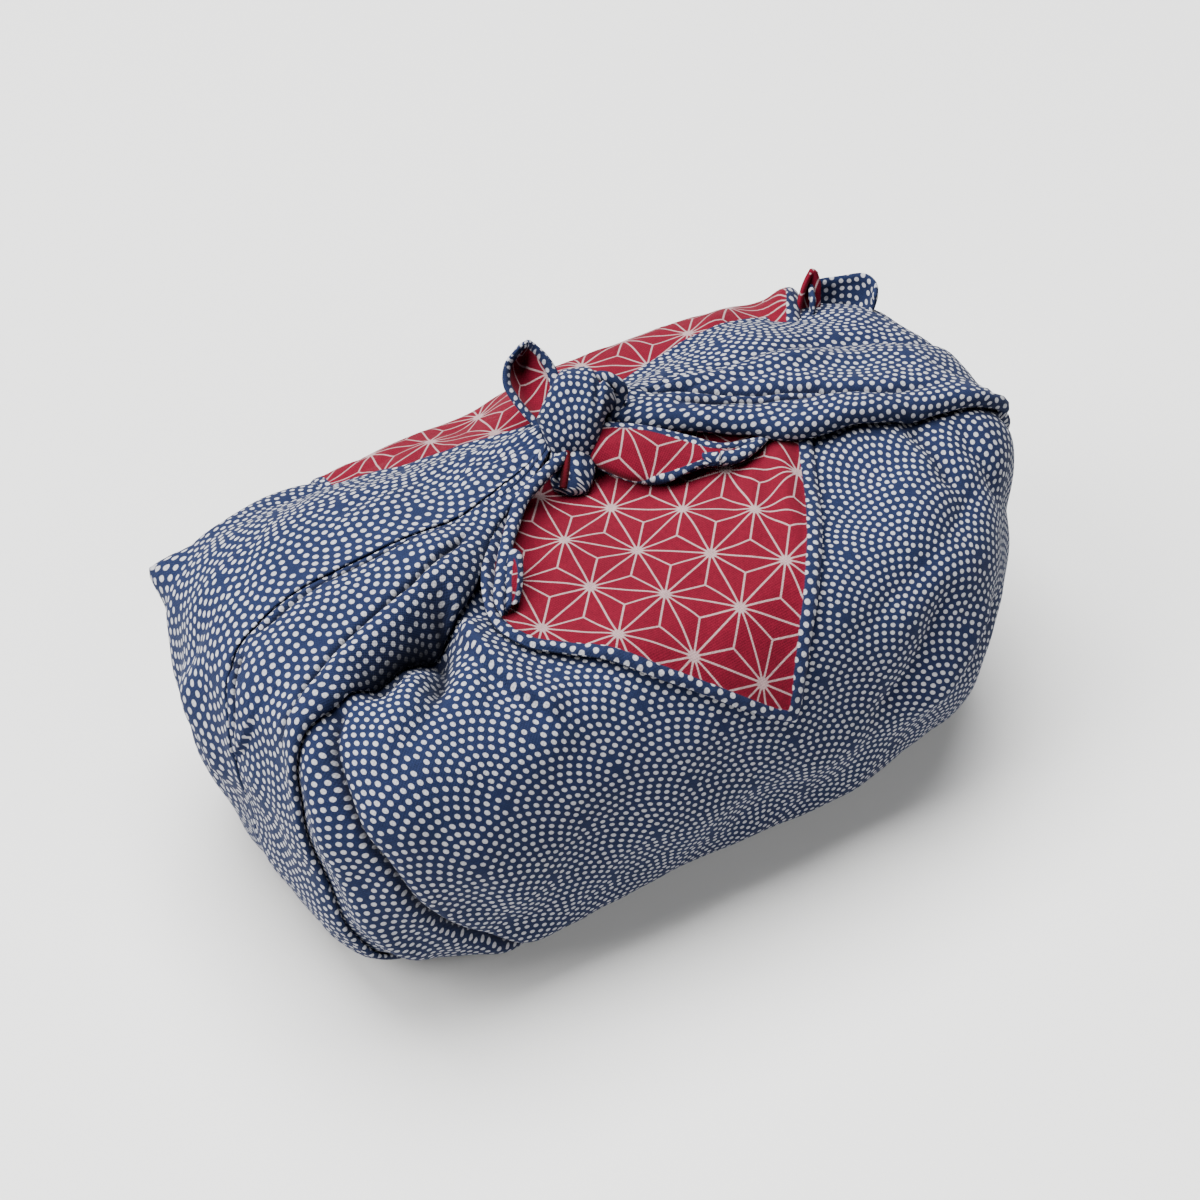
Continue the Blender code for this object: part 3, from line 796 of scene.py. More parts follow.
def fan_dots(n, u, v):
    """Samekomon: rows of overlapping fans, each of arcs of dots spread evenly between its neighbours.

    Gives 1 on the dots.
    """
    half = FAN_WIDTH / 2
    radius = half * math.sqrt(2)
    t = v / half
    first_row = n.maths("CEIL", t - math.sqrt(2))

    def fan(row):
        """Distances to the side, upwards and straight from the foot of the nearest fan in a row."""
        odd = n.maths("FLOORED_MODULO", row, 2.0) * 0.5
        aside = (n.maths("FRACT", u / FAN_WIDTH - odd + 0.5) - 0.5) * FAN_WIDTH
        rise = (t - row) * half
        return aside, rise, n.maths("SQRT", aside * aside + rise * rise)

    lower, upper = fan(first_row), fan(first_row + 1.0)
    outside = n.maths("GREATER_THAN", lower[2], radius - ARC_PITCH / 2 + DOT_RADIUS)
    aside, rise, away = (a + outside * (b - a) for a, b in zip(lower, upper))
    arc = n.maths("FLOOR", (radius - away) / ARC_PITCH)
    arc_radius = n.maths("MAXIMUM", radius - (arc + 0.5) * ARC_PITCH, SMALLEST_ARC)
    to_lower = 0.75 * math.pi - n.maths("ARCCOSINE", arc_radius / (2 * radius))
    to_side = n.maths("ARCSINE", n.maths("MINIMUM", half / arc_radius, 1.0))
    slant = n.maths("MAXIMUM", n.maths("COSINE", to_side), LEAST_SLANT)
    side_reach = to_side * arc_radius - SIDE_GAP / slant + ARC_PITCH / 2
    reach = n.maths("MINIMUM", to_lower * arc_radius, side_reach)
    whole = reach * 2.0
    count = n.maths("MAXIMUM", n.maths("ROUND", whole / ARC_PITCH), 1.0)
    pitch = whole / count
    walked = n.maths("ARCTAN2", aside, rise) * arc_radius
    nearest = n.maths("FLOOR", (walked + reach) / pitch)
    nearest = n.maths("MAXIMUM", n.maths("MINIMUM", nearest, count - 1.0), 0.0)
    off_along = walked - ((nearest + 0.5) * pitch - reach)
    off_across = away - arc_radius
    distance = n.maths("SQRT", off_along * off_along + off_across * off_across)
    return 1.0 - n.step(distance, DOT_RADIUS - DOT_BLUR, DOT_RADIUS + DOT_BLUR)


def star_lines(n, u, v):
    """Asanoha: a lattice of triangles, each split from its middle to its corners. Gives 1 on the lines."""
    height = STAR_PITCH * math.sqrt(3) / 2
    j = v / height
    a, b = n.maths("FRACT", u / STAR_PITCH - j * 0.5), n.maths("FRACT", j)
    upper = n.maths("GREATER_THAN", a + b, 1.0)
    a, b = (x + upper * (1.0 - x - x) for x in (a, b))
    c = 1.0 - a - b
    low = n.maths("MINIMUM", n.maths("MINIMUM", a, b), c)
    high = n.maths("MAXIMUM", n.maths("MAXIMUM", a, b), c)
    middle = 1.0 - low - high
    line = n.maths("MINIMUM", low * height, (middle - low) * (STAR_PITCH / 2))
    heart = 1.0 - n.step((1.0 - high) * STAR_PITCH, 0.0, STAR_HEART)
    edge = heart * STAR_WIDENING + STAR_LINE
    return 1.0 - n.step(line, edge - LINE_BLUR, edge + LINE_BLUR)


def weave(n, u, v):
    """Plain weave: threads over and under each other, from -1 to 1."""
    return n.maths("SINE", u * (2 * math.pi / THREAD)) * n.maths("SINE", v * (2 * math.pi / THREAD))


def finish_cloth(n, colour, u, v, sheen_tint):
    """Gives a coloured print its uneven dye, slubs, weave, soft sheen and roughness."""
    place = n.node("ShaderNodeNewGeometry", "Position", {})
    mottled = n.noise(place, MOTTLE_SCALE, 3.0)
    thread = weave(n, u, v)
    shade = mottled * MOTTLE + n.noise(place, CLOUD_SCALE) * CLOUDS + EVEN_SHADE + thread * THREAD_SHADE
    for across, down in SLUBS:
        flat = n.node("ShaderNodeCombineXYZ", 0, {0: u * across, 1: v * down})
        shade = shade + (n.noise(flat, 1.0) - 0.5) * SLUB_SHADE
    relief = thread * THREAD_DEPTH + n.noise(place, FUZZ_SCALE, 3.0) * FUZZ_DEPTH
    bump = {"Strength": BUMP_STRENGTH, "Distance": BUMP_DISTANCE, "Height": relief}
    return n.finish(
        Base_Color=n.node("ShaderNodeVectorMath", 0, {0: colour, "Scale": shade}, operation="SCALE"),
        Normal=n.node("ShaderNodeBump", 0, bump),
        Roughness=mottled * ROUGHNESS_SPREAD + ROUGHNESS,
        Sheen_Weight=0.035,
        Sheen_Roughness=0.5,
        Sheen_Tint=sheen_tint,
        Specular_IOR_Level=0.07,
    )


def dotted_navy(name="navy_dotted_cotton", creased=False):
    n = Nodes(name)
    u, v = n.millimetres()
    colour = n.mix(fan_dots(n, u, v), NAVY, DOT_WHITE)
    if creased:
        # painted shade: the colour darkens to near black inside sharp creases
        colour = n.mix(n.coordinates("Crease")[0] * CREASE_PAINTED_SHADE, colour, CREASE_PAINTED_SHADE_COLOUR)
    return finish_cloth(n, colour, u, v, BLUE_SHEEN)


def starred_red():
    n = Nodes("red_starred_lining")
    u, v = n.millimetres()
    return finish_cloth(n, n.mix(star_lines(n, u, v), RED, LINE_WHITE), u, v, RED_SHEEN)


def shaded_red():
    """The lining deep in a fold, where its print doesn't show: a darker red, painted shade."""
    n = Nodes("red_lining_with_painted_shade")
    return finish_cloth(n, PAINTED_SHADE_RED, *n.millimetres(), RED_SHEEN)


def hemmed_red():
    """The lining with the outer cloth turned over its edge as a stitched hem."""
    n = Nodes("red_lining_with_navy_hem")
    u, v = n.millimetres()
    edge, _ = n.millimetres("Edge")
    inside = n.mix(star_lines(n, u, v), RED, LINE_WHITE)
    hem = n.mix(fan_dots(n, u + HEM_DOTS[0], v + HEM_DOTS[1]), NAVY, DOT_WHITE)
    colour = n.mix(n.step(edge, HEM - HEM_BLUR, HEM + HEM_BLUR), hem, inside)
    return finish_cloth(n, colour, u, v, HEM_SHEEN)


navy = dotted_navy()
# the skin's material paints shade into its sharp creases
skin = outer_cloth(dotted_navy("navy_dotted_cotton_painted_crease_shade", creased=True))
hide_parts("outer_cloth")


# ---------------------------------------------------------------- the folded-back corner

RIGHT_HEM = 3.7  # the hem is wider on the flap's right
FLAP_LIFT = 1.5
FLAP_THICKNESS = 0.9
FLAP_LEFT = (  # (q, p) of the left edge: p runs along X, q from the front over the top to the back
    (-77, 5.2), (-73.7, -1), (-65.3, -11.7), (-59.4, -19), (-53.9, -25.8), (-48.4, -31.5),
    (-44, -36.3), (-39.7, -41.5), (-36, -46.6), (-31, -50), (-25, -51), (-19, -49.5),
    (-8.7, -44), (1.6, -35.6), (9.2, -26.8), (16, -18.7), (22, -12), (30, -22), (40, -46),
    (48, -54.5), (56, -57), (76, -57),
)
FLAP_RIGHT = (
    (-77, 5.8), (-68.3, 10.4), (-58.1, 16.6), (-50.8, 22.2), (-39.7, 30.6), (-28.9, 37.6), (-18, 43.5),
    (0, 54), (20, 66), (40, 78), (52, 86), (60, 90), (76, 91),
)
FLAP_Q = np.concatenate([np.linspace(-77, -30, 90), np.linspace(-30, 76, 101)[1:]])  # closer in front
FORM_P = np.linspace(-58, 93, 152)  # where the form under the flap is read
FORM_ANGLES = np.radians(np.linspace(-24, 204, 240))  # from the back over the top to the front
FORM_FARTHEST = 200.0
HALVINGS = 30  # of the span in which the form's radius is sought
EDGE_STOPS = (0, 0.25, 0.5, 0.9, 1.5, 2.3, 3.2, 4.2, 5.2, 6.2, 7.2, 8.6)
FLAP_MIDDLE_COLUMNS = 72
FLAP_BUMPS = (  # p, q, reach along, reach across, turn of its length in degrees, height
    (-30, -44, 12, 5, 140, 1.6),  # a wave of the hem
    (-14, -60, 9, 5, 140, 0.5),  # its other side
    (5, -72, 8, 7, 90, 0.9),  # the point
    (33, -20, 20, 3.6, 62, 2.2),  # the fold from the free end down
    (25, -18, 18, 3, 55, 1.1),  # its lower side
    (10, -22, 26, 7, 150, 0.9),  # under the free end
    (-30, 2, 24, 4, 45, 2.2),  # the strip beside the knot
    (-30, 56, 16, 5, 20, 1),  # the back's left
    (60, 52, 12, 4, 40, 1.8),  # beside the ear
    (80, 50, 9, 4.5, 55, 4.6),  # under the ear
    (20, 60, 20, 6, 10, 0.8),  # the back's middle
)
STRIP_RISE = 3.2  # how far the left edge stands up beside the knot
STRIP_RUN = (-30, -16, 16, 26)  # q at which that comes and goes
STRIP_WIDTH = 5.5
TUCK = 0.85  # how much the left edge lies down where it goes in behind the knot
TUCK_FROM = (20, 34)  # q over which that comes in
TUCK_WIDTH = (5, 14)
CREASE_SHARE = 0.7  # how much of the cloth's creases the flap follows,
CREASE_DEPTH = 1.5  # and how deep,
CREASE_SHARE_MORE = 0.3  # and how much more of both at the back
CREASE_DEPTH_MORE = 6.5
BEHIND = (25, 45)  # q over which that comes in
FLAP_HEM_LIFT = 0.55
FLAP_ROUND_OFF = 0.30
PUCKER = 0.16  # height of the stitching's puckers
BACK_EDGE = (62, 76)  # q over which the back edge rolls up
BACK_ROLL = 0.8
STITCH_PITCH = 2.9
STAR_TURN = 39.6
STAR_ORIGIN = (-0.7, -65.05)


def section_map():
    """Points of the firm form at each FORM_P and FLAP_Q, which is walked over it from the top's middle."""
    x = FORM_P[:, None]
    swing = np.stack(np.broadcast_arrays(0 * x, np.cos(FORM_ANGLES), np.sin(FORM_ANGLES)), -1)
    lengthwise = np.stack(np.broadcast_arrays(x, 0 * FORM_ANGLES, 0 * FORM_ANGLES), -1)
    low, high = np.zeros(swing.shape[:2]), np.full(swing.shape[:2], FORM_FARTHEST)
    for _ in range(HALVINGS):
        radius = (low + high) / 2
        inside = tightness(lengthwise + swing * radius[..., None]) < 1
        low, high = np.where(inside, radius, low), np.where(inside, high, radius)
    points = MIDDLE + lengthwise + swing * low[..., None]
    walked = running_sums(leg_lengths(points, 1), 1)
    walked -= np.array([[np.interp(0, -row[:, 1], w)] for row, w in zip(points, walked)])
    return np.array([
        [np.interp(FLAP_Q, -way[::-1], line[::-1, axis]) for axis in range(3)]
        for way, line in zip(walked, points)
    ]).transpose(0, 2, 1)


def edge_distances(flat, line):
    """Distance of flat (p, q) points from an edge of (q, p) stops, and the distance walked along it."""
    stops = np.array(line)[:, ::-1]
    near, number, share, _ = nearest_on(flat, stops)
    return near, np.interp(number + share, np.arange(len(stops)), distances(stops))


def flap_stops(width):
    """Places across a row of the flap, close together at both edges."""
    scale = min(1.0, width / (2.6 * EDGE_STOPS[-1]))
    edge = np.array(EDGE_STOPS) * scale
    middle = np.linspace(edge[-1], width - edge[-1], FLAP_MIDDLE_COLUMNS + 2)[1:-1]
    return np.concatenate([edge, middle, width - edge[::-1]])


def thin_sheet(name, upper, lower, flat, rims, materials, turned=False):
    """A closed sheet between two grids of points; rims is the distances from its edge and along it."""
    index = np.arange(upper[..., 0].size).reshape(upper.shape[:2])
    a, b, c, d = index[:-1, :-1], index[:-1, 1:], index[1:, 1:], index[1:, :-1]
    top = np.stack([a, b, c, d], -1).reshape(-1, 4)
    bottom = np.stack([a, d, c, b], -1).reshape(-1, 4) + index.size
    rim = np.concatenate([index[0], index[1:, -1], index[-1, -2::-1], index[-2:0:-1, 0]])
    after = np.roll(rim, -1)
    side = np.stack([rim, rim + index.size, after + index.size, after], 1)
    faces = np.concatenate([top, bottom, side])
    if turned:
        faces = np.roll(faces[:, ::-1], 1, axis=1)
    points = np.concatenate([upper.reshape(-1, 3), lower.reshape(-1, 3)])
    piece = mesh_piece(name, points, faces.tolist(), materials)
    slots = (np.arange(len(faces)) >= len(top)).astype(np.int32)
    piece.data.polygons.foreach_set("material_index", slots)
    corners = faces.reshape(-1) % index.size
    add_uv(piece.data, "Print", flat.reshape(-1, 2)[corners] * MM)
    add_uv(piece.data, "Edge", np.stack(rims, -1).reshape(-1, 2)[corners] * MM)
    return piece


def lining_flap(red, blue):
    """The cloth's corner folded back over the top, from its point on the front to a straight edge behind."""
    left, right = along(FLAP_Q, FLAP_LEFT), along(FLAP_Q, FLAP_RIGHT)
    p = np.array([a + flap_stops(b - a) for a, b in zip(left, right)])
    q = np.broadcast_to(FLAP_Q[:, None], p.shape)
    flat = np.stack([p, q], -1)
    column = (p - FORM_P[0]) / (FORM_P[1] - FORM_P[0])
    firm = read_grid(section_map(), column, np.arange(len(FLAP_Q))[:, None])
    normal = firm_normal(firm)
    left_away, left_walk = edge_distances(flat, FLAP_LEFT)
    right_away, right_walk = edge_distances(flat, FLAP_RIGHT)
    right_away *= HEM / RIGHT_HEM
    edge = np.minimum(left_away, right_away)
    walk = np.where(left_away < right_away, left_walk, right_walk)
    rise = FLAP_LIFT + ripple_heights(firm, SEED) * 0.8
    for at_p, at_q, reach_along, reach_across, turn, height in FLAP_BUMPS:
        place = turned_flat(flat - (at_p, at_q), -turn)
        rise += height * np.exp(-((place / (reach_along, reach_across)) ** 2).sum(-1))
    rise += STRIP_RISE * rise_and_fall(q, *STRIP_RUN) * (1 - smooth(left_away, 0, STRIP_WIDTH))
    tucked = smooth(q, *TUCK_FROM) * (1 - smooth(left_away, *TUCK_WIDTH))
    rise *= 1 - TUCK * tucked
    behind = smooth(q, *BEHIND)
    deepest = -CREASE_DEPTH - CREASE_DEPTH_MORE * behind
    rise += (CREASE_SHARE + CREASE_SHARE_MORE * behind) * np.maximum(deepest, crease_heights(firm)[0])
    hem = FLAP_HEM_LIFT * rise_and_fall(edge, 0, HEM_RISE, HEM - HEM_FALL, HEM + 0.25) * (1 - 0.8 * tucked)
    stitched = rise_and_fall(edge, 0.3, 1.2, 2.2, HEM + 1.5)
    pucker = PUCKER * np.sin(2 * math.pi * walk / STITCH_PITCH) * stitched
    back_roll = BACK_ROLL * smooth(q, *BACK_EDGE)
    round_off = FLAP_ROUND_OFF * (1 - smooth(edge, 0, EDGE_ROUND))
    upper = firm + normal * (rise + hem + pucker + back_roll - round_off)[..., None]
    lower = upper - normal * (FLAP_THICKNESS + hem * 0.8 - 1.2 * round_off)[..., None]
    stars = turned_flat(flat - STAR_ORIGIN, STAR_TURN)
    return thin_sheet("lining_flap_sheet", upper, lower, stars, (edge, walk), [red, blue])


# ---------------------------------------------------------------- knot, free ends and ear

SHEET = 1.0
HEM_LIFT = 0.35
HEM_BELOW = 0.6  # the share of that lift which the hem also has below
ROUND_OFF = 0.25


def hemmed_sheet(name, sections, size, hems, turn, shift, materials, rests_on, replaced=None):
    """A thin sheet over a few sections. Its sides are hemmed, and hems says which of its ends are too."""
    rows, columns = size
    across = np.array([spline_points(section, columns) for section in sections])
    grid = np.stack([spline_points(across[:, j], rows) for j in range(columns)], 1)[:, ::-1]
    lengths, widths = leg_lengths(grid), leg_lengths(grid, 1)
    v, u = running_sums(lengths), running_sums(widths, 1)
    edge = np.minimum(u, u[:, -1:] - u)
    for hemmed, from_end in zip(hems, (v, v[-1:] - v)):
        if hemmed:
            edge = np.minimum(edge, from_end)
    normal = normalised(np.cross(np.gradient(grid, axis=0), np.gradient(grid, axis=1)))
    hem = HEM_LIFT * rise_and_fall(edge, 0, HEM_RISE, HEM - HEM_FALL, HEM + 0.3)
    half = SHEET / 2 - ROUND_OFF * (1 - smooth(edge, 0, EDGE_ROUND))
    upper = grid + normal * (half + hem)[..., None]
    lower = grid - normal * (half + hem * HEM_BELOW)[..., None]
    flat = turned_flat(np.stack([u - u[:, -1:] / 2, v], -1), turn, *shift)
    piece = thin_sheet(name, upper, lower, flat, (edge, v), materials, turned=True)
    if replaced:
        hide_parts(replaced)


TAIL_LEFT = (  # sections from the root to the free point, each from the left to the right
    ((-7.5, 27, 88), (-4, 28.5, 87.5), (-0.5, 27, 89)),
    ((-9.8, 34.5, 92.5), (-4.4, 37.5, 90), (1.6, 33, 94)),
    ((-10.4, 40.5, 95.5), (-3.4, 44.5, 92.5), (2.8, 37.5, 98)),
    ((-8.2, 44.8, 99), (-2, 47.8, 96.5), (2, 40.5, 101)),
    ((-4.4, 45.4, 102), (-1.4, 47.2, 100.6), (0.6, 42.8, 103)),
    ((-1.5, 44.4, 104.4), (-1.1, 44.2, 104.6), (-0.8, 43.9, 104.5)),
)
TAIL_RIGHT = (  # sections from the root to the free point, each from its upper edge to its lower one
    ((-1, 19.5, 94), (-3, 15, 94), (-4, 12, 90.5), (-3, 13, 87)),
    ((5, 15.4, 94.2), (1.6, 9.6, 94.2), (-1.8, 6.2, 89.6), (0.4, 7.6, 86)),
    ((12.4, 9.6, 93.6), (8.2, 3.8, 93.2), (2.6, -0.2, 88.4), (4.9, 0.4, 85.6)),
    ((19.4, 3.2, 92), (15.2, -1, 91.2), (9.8, -4.4, 88.4), (9.6, -4.8, 86.8)),
    ((25.6, -2.8, 90.6), (21.8, -4.4, 90.2), (19, -5.6, 89.4), (17, -6, 88.6)),
    ((32.5, -4.2, 89.8), (30.4, -5.8, 89), (28.6, -7.4, 88.4), (27, -8.8, 88.4)),
    ((40, -4.6, 88.6), (39.8, -4.8, 88.5), (39.6, -5, 88.4), (39.4, -5.2, 88.4)),
)
EAR = (  # sections round the pocket: (foot, waist, rim)
    ((83.2, 41, 80), (83.3, 41.6, 83), (84.6, 43, 86.5)),
    ((85, 45.5, 79), (86, 46.5, 83), (87.5, 48.6, 87.4)),
    ((89, 48, 78), (90, 49, 82.5), (91.5, 50.4, 86.4)),
    ((93.5, 47, 78), (94.6, 47.6, 82.5), (96, 47.6, 87.2)),
    ((97, 43, 78), (98.2, 43.2, 83), (100.4, 42.8, 89)),
    ((97.5, 38.5, 79), (99.6, 38.8, 83.5), (101.6, 39, 88)),
    ((97, 35, 79.5), (98.6, 35.2, 83), (99.4, 35.8, 86)),
)
RED_TIP = (  # sections from the root up: (left, middle, right)
    ((79, 44, 80), (83.5, 47, 80), (88, 45, 80)),
    ((81.5, 46, 84.5), (85.5, 48.8, 84.8), (89, 46.4, 84)),
    ((84.2, 47.6, 88), (87, 49.6, 88.2), (89.6, 47.4, 87.6)),
    ((87.2, 48.8, 90.6), (88.3, 49.4, 91), (89.4, 48.6, 90.4)),
)
CURL = (  # sections from the strip's foot up: (left edge, crest, right edge)
    ((-47.5, -25, 85), (-45.2, -24.4, 86.2), (-42.6, -23.4, 85.2)),
    ((-45, -20.4, 86.6), (-42.4, -20.6, 88), (-39.4, -19.4, 86.6)),
    ((-42.4, -15.6, 87.8), (-39.6, -16, 88.8), (-36.6, -14.8, 87.6)),
    ((-39.4, -11.4, 88.4), (-37.2, -11.6, 89.4), (-35.2, -11.6, 88.4)),
    ((-37.6, -9.2, 88.6), (-36.8, -9.6, 89), (-36, -10, 88.8)),
)
KNOT_CENTRE = (-0.3, 22.7, 94.0)
KNOT_AXIS = (0.88, -0.47, 0.0)
KNOT_SPANS = (  # turn round the axis (0 faces the front, 90 up), reach to the left, to the right, radius
    (-180, 6, 6, 9),
    (-90, 4, 3.4, 10.6),
    (-45, 6, 4.2, 13.6),
    (-25, 7.4, 5.2, 13.8),
    (-5, 8.6, 6.2, 13.2),
    (12, 9.3, 7, 12.6),
    (24, 9.7, 7.4, 12.2),
    (35, 9.7, 7.8, 12.2),
    (47, 9.4, 8.4, 12.1),
    (58, 9, 9.4, 12),
    (70, 8.2, 10.2, 12.2),
    (81, 7.2, 10.4, 12.4),
    (99, 5.8, 8, 12.4),
    (130, 5, 5.6, 12.2),
    (160, 6, 6, 9.6),
    (180, 6, 6, 9),
)
KNOT_TURNS = 150
KNOT_ACROSS = 60
KNOT_WRINKLES = ((0.35, 2.3, 0.45), (0.3, 5.0, -0.3))  # height, waves round the loop and waves across it
KNOT_FOLD_PLACE = 6.2  # the fold near the loop's right: how far from its middle
KNOT_FOLD_SLANT = 1.4
KNOT_FOLD_WIDTH = 0.8
KNOT_FOLD_DEPTH = 1.8
KNOT_FOLD_TURNS = (0.5, 1.0, 1.7, 2.1)  # radians round the axis at which it comes and goes
KNOT_PRINT = (1.3, 13.2)  # the print's stretch across the knot, and the radius at which it is wound
UP = np.array([0.0, 0.0, 1.0])


def knot(material):
    """The knot's loop: a crowned band wrapped over the two strands, with a fold near its right."""
    axis = normalised(np.array(KNOT_AXIS))
    ahead = np.cross(axis, UP)
    turns = np.linspace(-180, 180, KNOT_TURNS + 1)
    theta = np.radians(turns)[:, None]
    stops, *spans = zip(*KNOT_SPANS)
    left, right, radius = (along(turns, list(zip(stops, span)))[:, None] for span in spans)
    s = np.sin(np.linspace(-math.pi / 2, math.pi / 2, KNOT_ACROSS))
    place = np.where(s < 0, s * left, s * right)
    crown = (1 - np.abs(s) ** 4.0) ** 0.5
    fold = np.exp(-(((place - KNOT_FOLD_PLACE + KNOT_FOLD_SLANT * np.cos(theta)) / KNOT_FOLD_WIDTH) ** 2))
    r = radius * crown**0.8 - KNOT_FOLD_DEPTH * fold * rise_and_fall(theta, *KNOT_FOLD_TURNS)
    for height, turning, sideways in KNOT_WRINKLES:
        r += height * np.sin(turning * theta + sideways * place) * crown
    spoke = np.cos(theta)[..., None] * ahead + np.sin(theta)[..., None] * UP
    points = (np.array(KNOT_CENTRE) + place[..., None] * axis + r[..., None] * spoke)[:-1]
    prints = np.stack([place, np.broadcast_to(theta, place.shape)], -1) * KNOT_PRINT
    strips = [(i, (i + 1) % KNOT_TURNS, prints[i], prints[i + 1]) for i in range(KNOT_TURNS)]
    return closed_skin("knot_loop", points, [points[:, 0].mean(0), points[:, -1].mean(0)], strips, material)


KNOT_UNDER = (  # stops along its length: x, y, z, half width, half depth
    (-4.6, 16.4, 91, 5.4, 3.2),
    (-6.8, 13.6, 89.4, 5.8, 3.6),
    (-8.8, 10.6, 87.6, 5.6, 3.4),
    (-10.6, 8.2, 85.8, 4.8, 2.8),
    (-12, 6.4, 84.4, 3.4, 2),
)
KNOT_LIP = (
    (4.2, 23.4, 104.2, 1.1, 1),
    (7.2, 20.6, 104, 1.5, 1.3),
    (9.6, 18.6, 102, 1.7, 1.4),
    (10.2, 18.2, 99.6, 1.8, 1.4),
    (8.8, 18.2, 97, 1.8, 1.4),
    (6.8, 17.4, 94.6, 1.7, 1.3),
    (4.6, 16.8, 92.4, 1.4, 1.1),
)
TAIL_ROLL = (
    (7.6, -3.6, 87.2, 0.5, 0.5),
    (11, -3.9, 87.6, 1.2, 1.1),
    (15.2, -3.6, 88.2, 1.8, 1.6),
    (19.4, -4.2, 88.8, 2.1, 1.8),
    (23.4, -6.6, 89.2, 2.1, 1.8),
    (27.6, -8, 89.2, 1.9, 1.6),
    (32.6, -7, 89.2, 1.6, 1.3),
    (39, -5.2, 88.6, 0.8, 0.8),
)
FLAP_ROLL = (
    (-7.6, 13.2, 92.6, 1.8, 1.8),
    (-13.2, 11, 91.6, 1.7, 1.7),
    (-18.8, 8, 91.6, 1.7, 1.6),
    (-23.3, 6, 91, 1.8, 1.6),
    (-27.5, 3, 90.4, 1.8, 1.6),
    (-32.6, -2.6, 89.6, 1.7, 1.6),
    (-37.6, -8.4, 89, 1.6, 1.5),
    (-42.4, -15.4, 88.2, 1.6, 1.5),
    (-46.4, -21.4, 87.6, 1.5, 1.4),
    (-48.6, -26.6, 86.4, 1.3, 1.2),
)
LUMPS = (  # name, stops, turn of its print in degrees, how deep its lengthwise folds are
    ("knot_under", KNOT_UNDER, 30.0, 0.10),
    ("knot_lip", KNOT_LIP, 60.0, 0.0),
    ("flap_roll", FLAP_ROLL, 15.0, 0.0),
    ("tail_roll", TAIL_ROLL, 40.0, 0.0),
)
LUMP_STEPS = 48
LUMP_AROUND = 40
LUMP_FOLDS = 5
LUMP_END = 5  # the steps over which an end rounds off


def swept_lump(name, stops, turn, fold, material):
    """A closed lump along a path, with an elliptical section."""
    run = spline_points(stops, LUMP_STEPS)
    centre, half_sizes = run[:, :3], run[:, 3:]
    ahead = normalised(np.gradient(centre, axis=0))
    side = normalised(np.array(KNOT_AXIS) - ahead * (ahead @ np.array(KNOT_AXIS))[:, None])
    out = np.cross(side, ahead)
    step = np.arange(LUMP_STEPS)
    end_round = np.sqrt(np.clip(np.minimum(step, step[::-1]) / LUMP_END, 0.02, 1))
    wide, deep = (half_sizes * end_round[:, None]).T[..., None]
    theta = np.linspace(0, 2 * math.pi, LUMP_AROUND + 1)[:, None, None]
    folded = np.sin(theta) * (1 + fold * np.cos(LUMP_FOLDS * theta))
    points = (centre + np.cos(theta) * wide * side + folded * deep * out)[:-1]
    around = theta[..., 0] * half_sizes[:, 0]
    along_it = np.broadcast_to(distances(centre), around.shape)
    prints = turned_flat(np.stack([around, along_it], -1), turn)
    strips = [((j + 1) % LUMP_AROUND, j, prints[j + 1], prints[j]) for j in range(LUMP_AROUND)]
    return closed_skin(name, points, [points[:, 0].mean(0), points[:, -1].mean(0)], strips, material)


SLIT = ((-8.8, 12.6, 92.9), (-10.4, 10.2, 91.3), (-12.0, 8.2, 89.4), (-13.4, 6.8, 87.2))  # along its crest
SLIT_OUT = (-0.36, -0.67, 0.65)
SLIT_SECTION = ((-3.4, -0.4), (-1.2, -0.5), (0, 0), (-1.2, 0.5), (-3.4, 0.4))  # out of its crest, and aside


def slit_sections():
    """A narrow fold of the lining, most of it inside the knot."""
    out, side = np.array(SLIT_OUT), np.array(KNOT_AXIS)
    section = [out * depth + side * aside for depth, aside in SLIT_SECTION]
    return [[crest + offset for offset in section] for crest in np.array(SLIT)]


red_hemmed = hemmed_red()
red_plain = starred_red()

flap = lining_flap(red_hemmed, navy)
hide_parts("lining_flap")

lumps = [knot(navy)] + [swept_lump(*lump, navy) for lump in LUMPS]

# fold is the darker red with painted shade, for the slit deep in the knot
red, plain, fold, blue = [red_hemmed, navy], [red_plain] * 2, [shaded_red()] * 2, [navy] * 2
SHEETS = (  # name, sections, rows and columns, hemmed ends, print's turn and shift, faces, what it rests on
    ("tail_left_sheet", TAIL_LEFT, (60, 36), (False, True), 20, (3, 4), red, "knot_loop",
     "lining_tail_left"),
    ("tail_right_sheet", TAIL_RIGHT, (110, 44), (False, True), 25, (6, 2), red, "lining_flap_sheet",
     "lining_tail_right"),
    ("ear_sheet", EAR, (80, 26), (True, True), 0, (0, 0), blue, "outer_cloth_skin"),
    ("red_fold_tip", RED_TIP, (30, 24), (False, False), 30, (2, 2), plain, "outer_cloth_skin"),
    ("hem_curl", CURL, (50, 26), (False, True), 30, (5, 3), red, "lining_flap_sheet"),
    ("knot_slit", slit_sections(), (24, 20), (False, False), 0, (0, 0), fold, "knot_under"),
)
for sheet in SHEETS:
    hemmed_sheet(*sheet)


# ---------------------------------------------------------------- stage

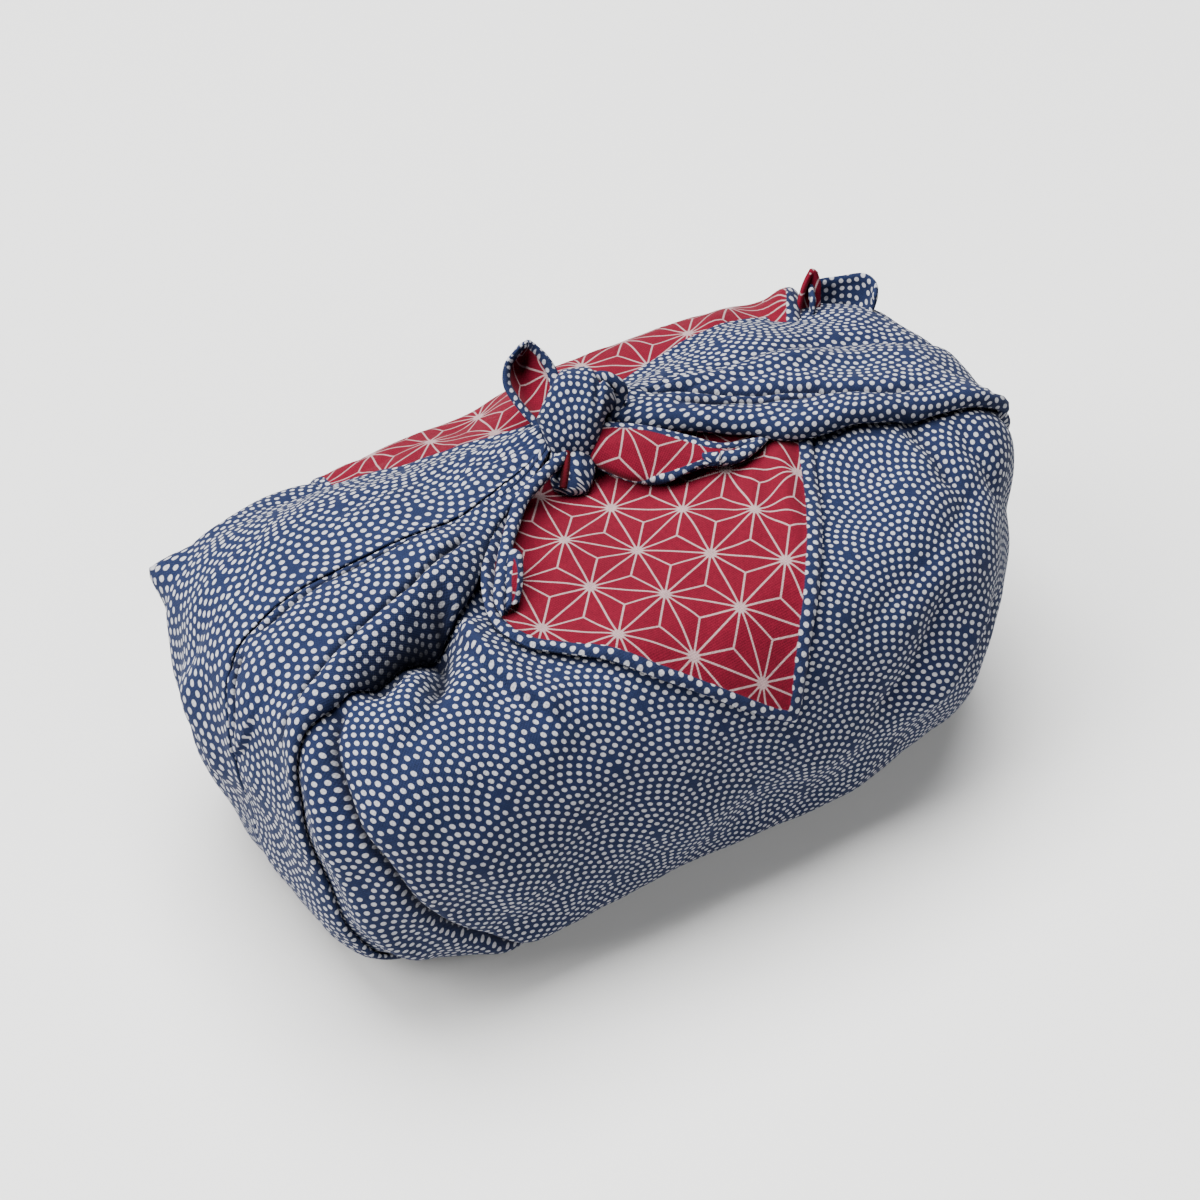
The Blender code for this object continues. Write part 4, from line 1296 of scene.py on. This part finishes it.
CAMERA_AT = (-229.1, -412.07, 443.41)
CAMERA_TARGET = (22.0, 57.6, 0.0)
CAMERA_ROLL = -3.38
CAMERA_LENS = 72.87
FLOOR_REACH = 6.0
FLOOR_COLOUR = (0.415, 0.415, 0.411, 1.0)
WORLD_COLOUR = (0.94, 0.97, 1.0, 1.0)
WORLD_STRENGTH = 0.06
WHITE = (1.0, 1.0, 1.0)
LIGHTS = (  # name, place, target, size, power, colour; in metres and watts
    ("window", (-1.9, 0.3, 1.9), (0, 0, 0.03), 1.6, 150, (1, 0.99, 0.98)),
    ("ceiling", (0, 0.62, 2.75), (0, 0, 0.03), 2.4, 262, WHITE),
    ("floor_fill", (0.5, -2.1, 1.25), (0, 0, 0), 1.6, 66, WHITE),
)


def towards(place, target):
    """The turn of a camera or light at one place that looks at another."""
    return (Vector(target) - Vector(place)).to_track_quat("-Z", "Y")


def add_camera():
    camera = add_object("camera", bpy.data.cameras.new("camera"))
    place, target = to_row_frame(CAMERA_AT), to_row_frame(CAMERA_TARGET)
    turn = towards(place, target).to_matrix() @ Matrix.Rotation(math.radians(CAMERA_ROLL), 3, "Z")
    camera.matrix_world = Matrix.Translation(place) @ turn.to_4x4()
    camera.data.lens = CAMERA_LENS
    camera.data.sensor_width = 36.0
    camera.data.clip_start = 0.01
    bpy.context.scene.camera = camera


def add_floor():
    mesh = bpy.data.meshes.new("floor")
    corners = [(FLOOR_REACH * x, FLOOR_REACH * y, 0) for x, y in ((-1, -1), (1, -1), (1, 1), (-1, 1))]
    mesh.from_pydata(corners, [], [(0, 1, 2, 3)])
    mesh.materials.append(Nodes("pale_floor").finish(Base_Color=FLOOR_COLOUR, Roughness=0.6))
    floor = add_object("floor", mesh)
    return floor


def add_lights(floor):
    """A big soft light to the left, one overhead, and a fill that reaches only the floor."""
    world = bpy.data.worlds.new("studio")
    world.use_nodes = True
    sky = world.node_tree.nodes["Background"].inputs
    sky["Color"].default_value = WORLD_COLOUR
    sky["Strength"].default_value = WORLD_STRENGTH
    bpy.context.scene.world = world
    for name, place, target, size, power, colour in LIGHTS:
        data = bpy.data.lights.new(name, "AREA")
        data.size = size
        data.energy = power
        data.color = colour
        lamp = add_object(name, data)
        lamp.location = place
        lamp.rotation_euler = towards(place, target).to_euler()
    lit = bpy.data.collections.new("floor_only")
    lit.objects.link(floor)
    lamp.light_linking.receiver_collection = lit


add_camera()
add_lights(add_floor())
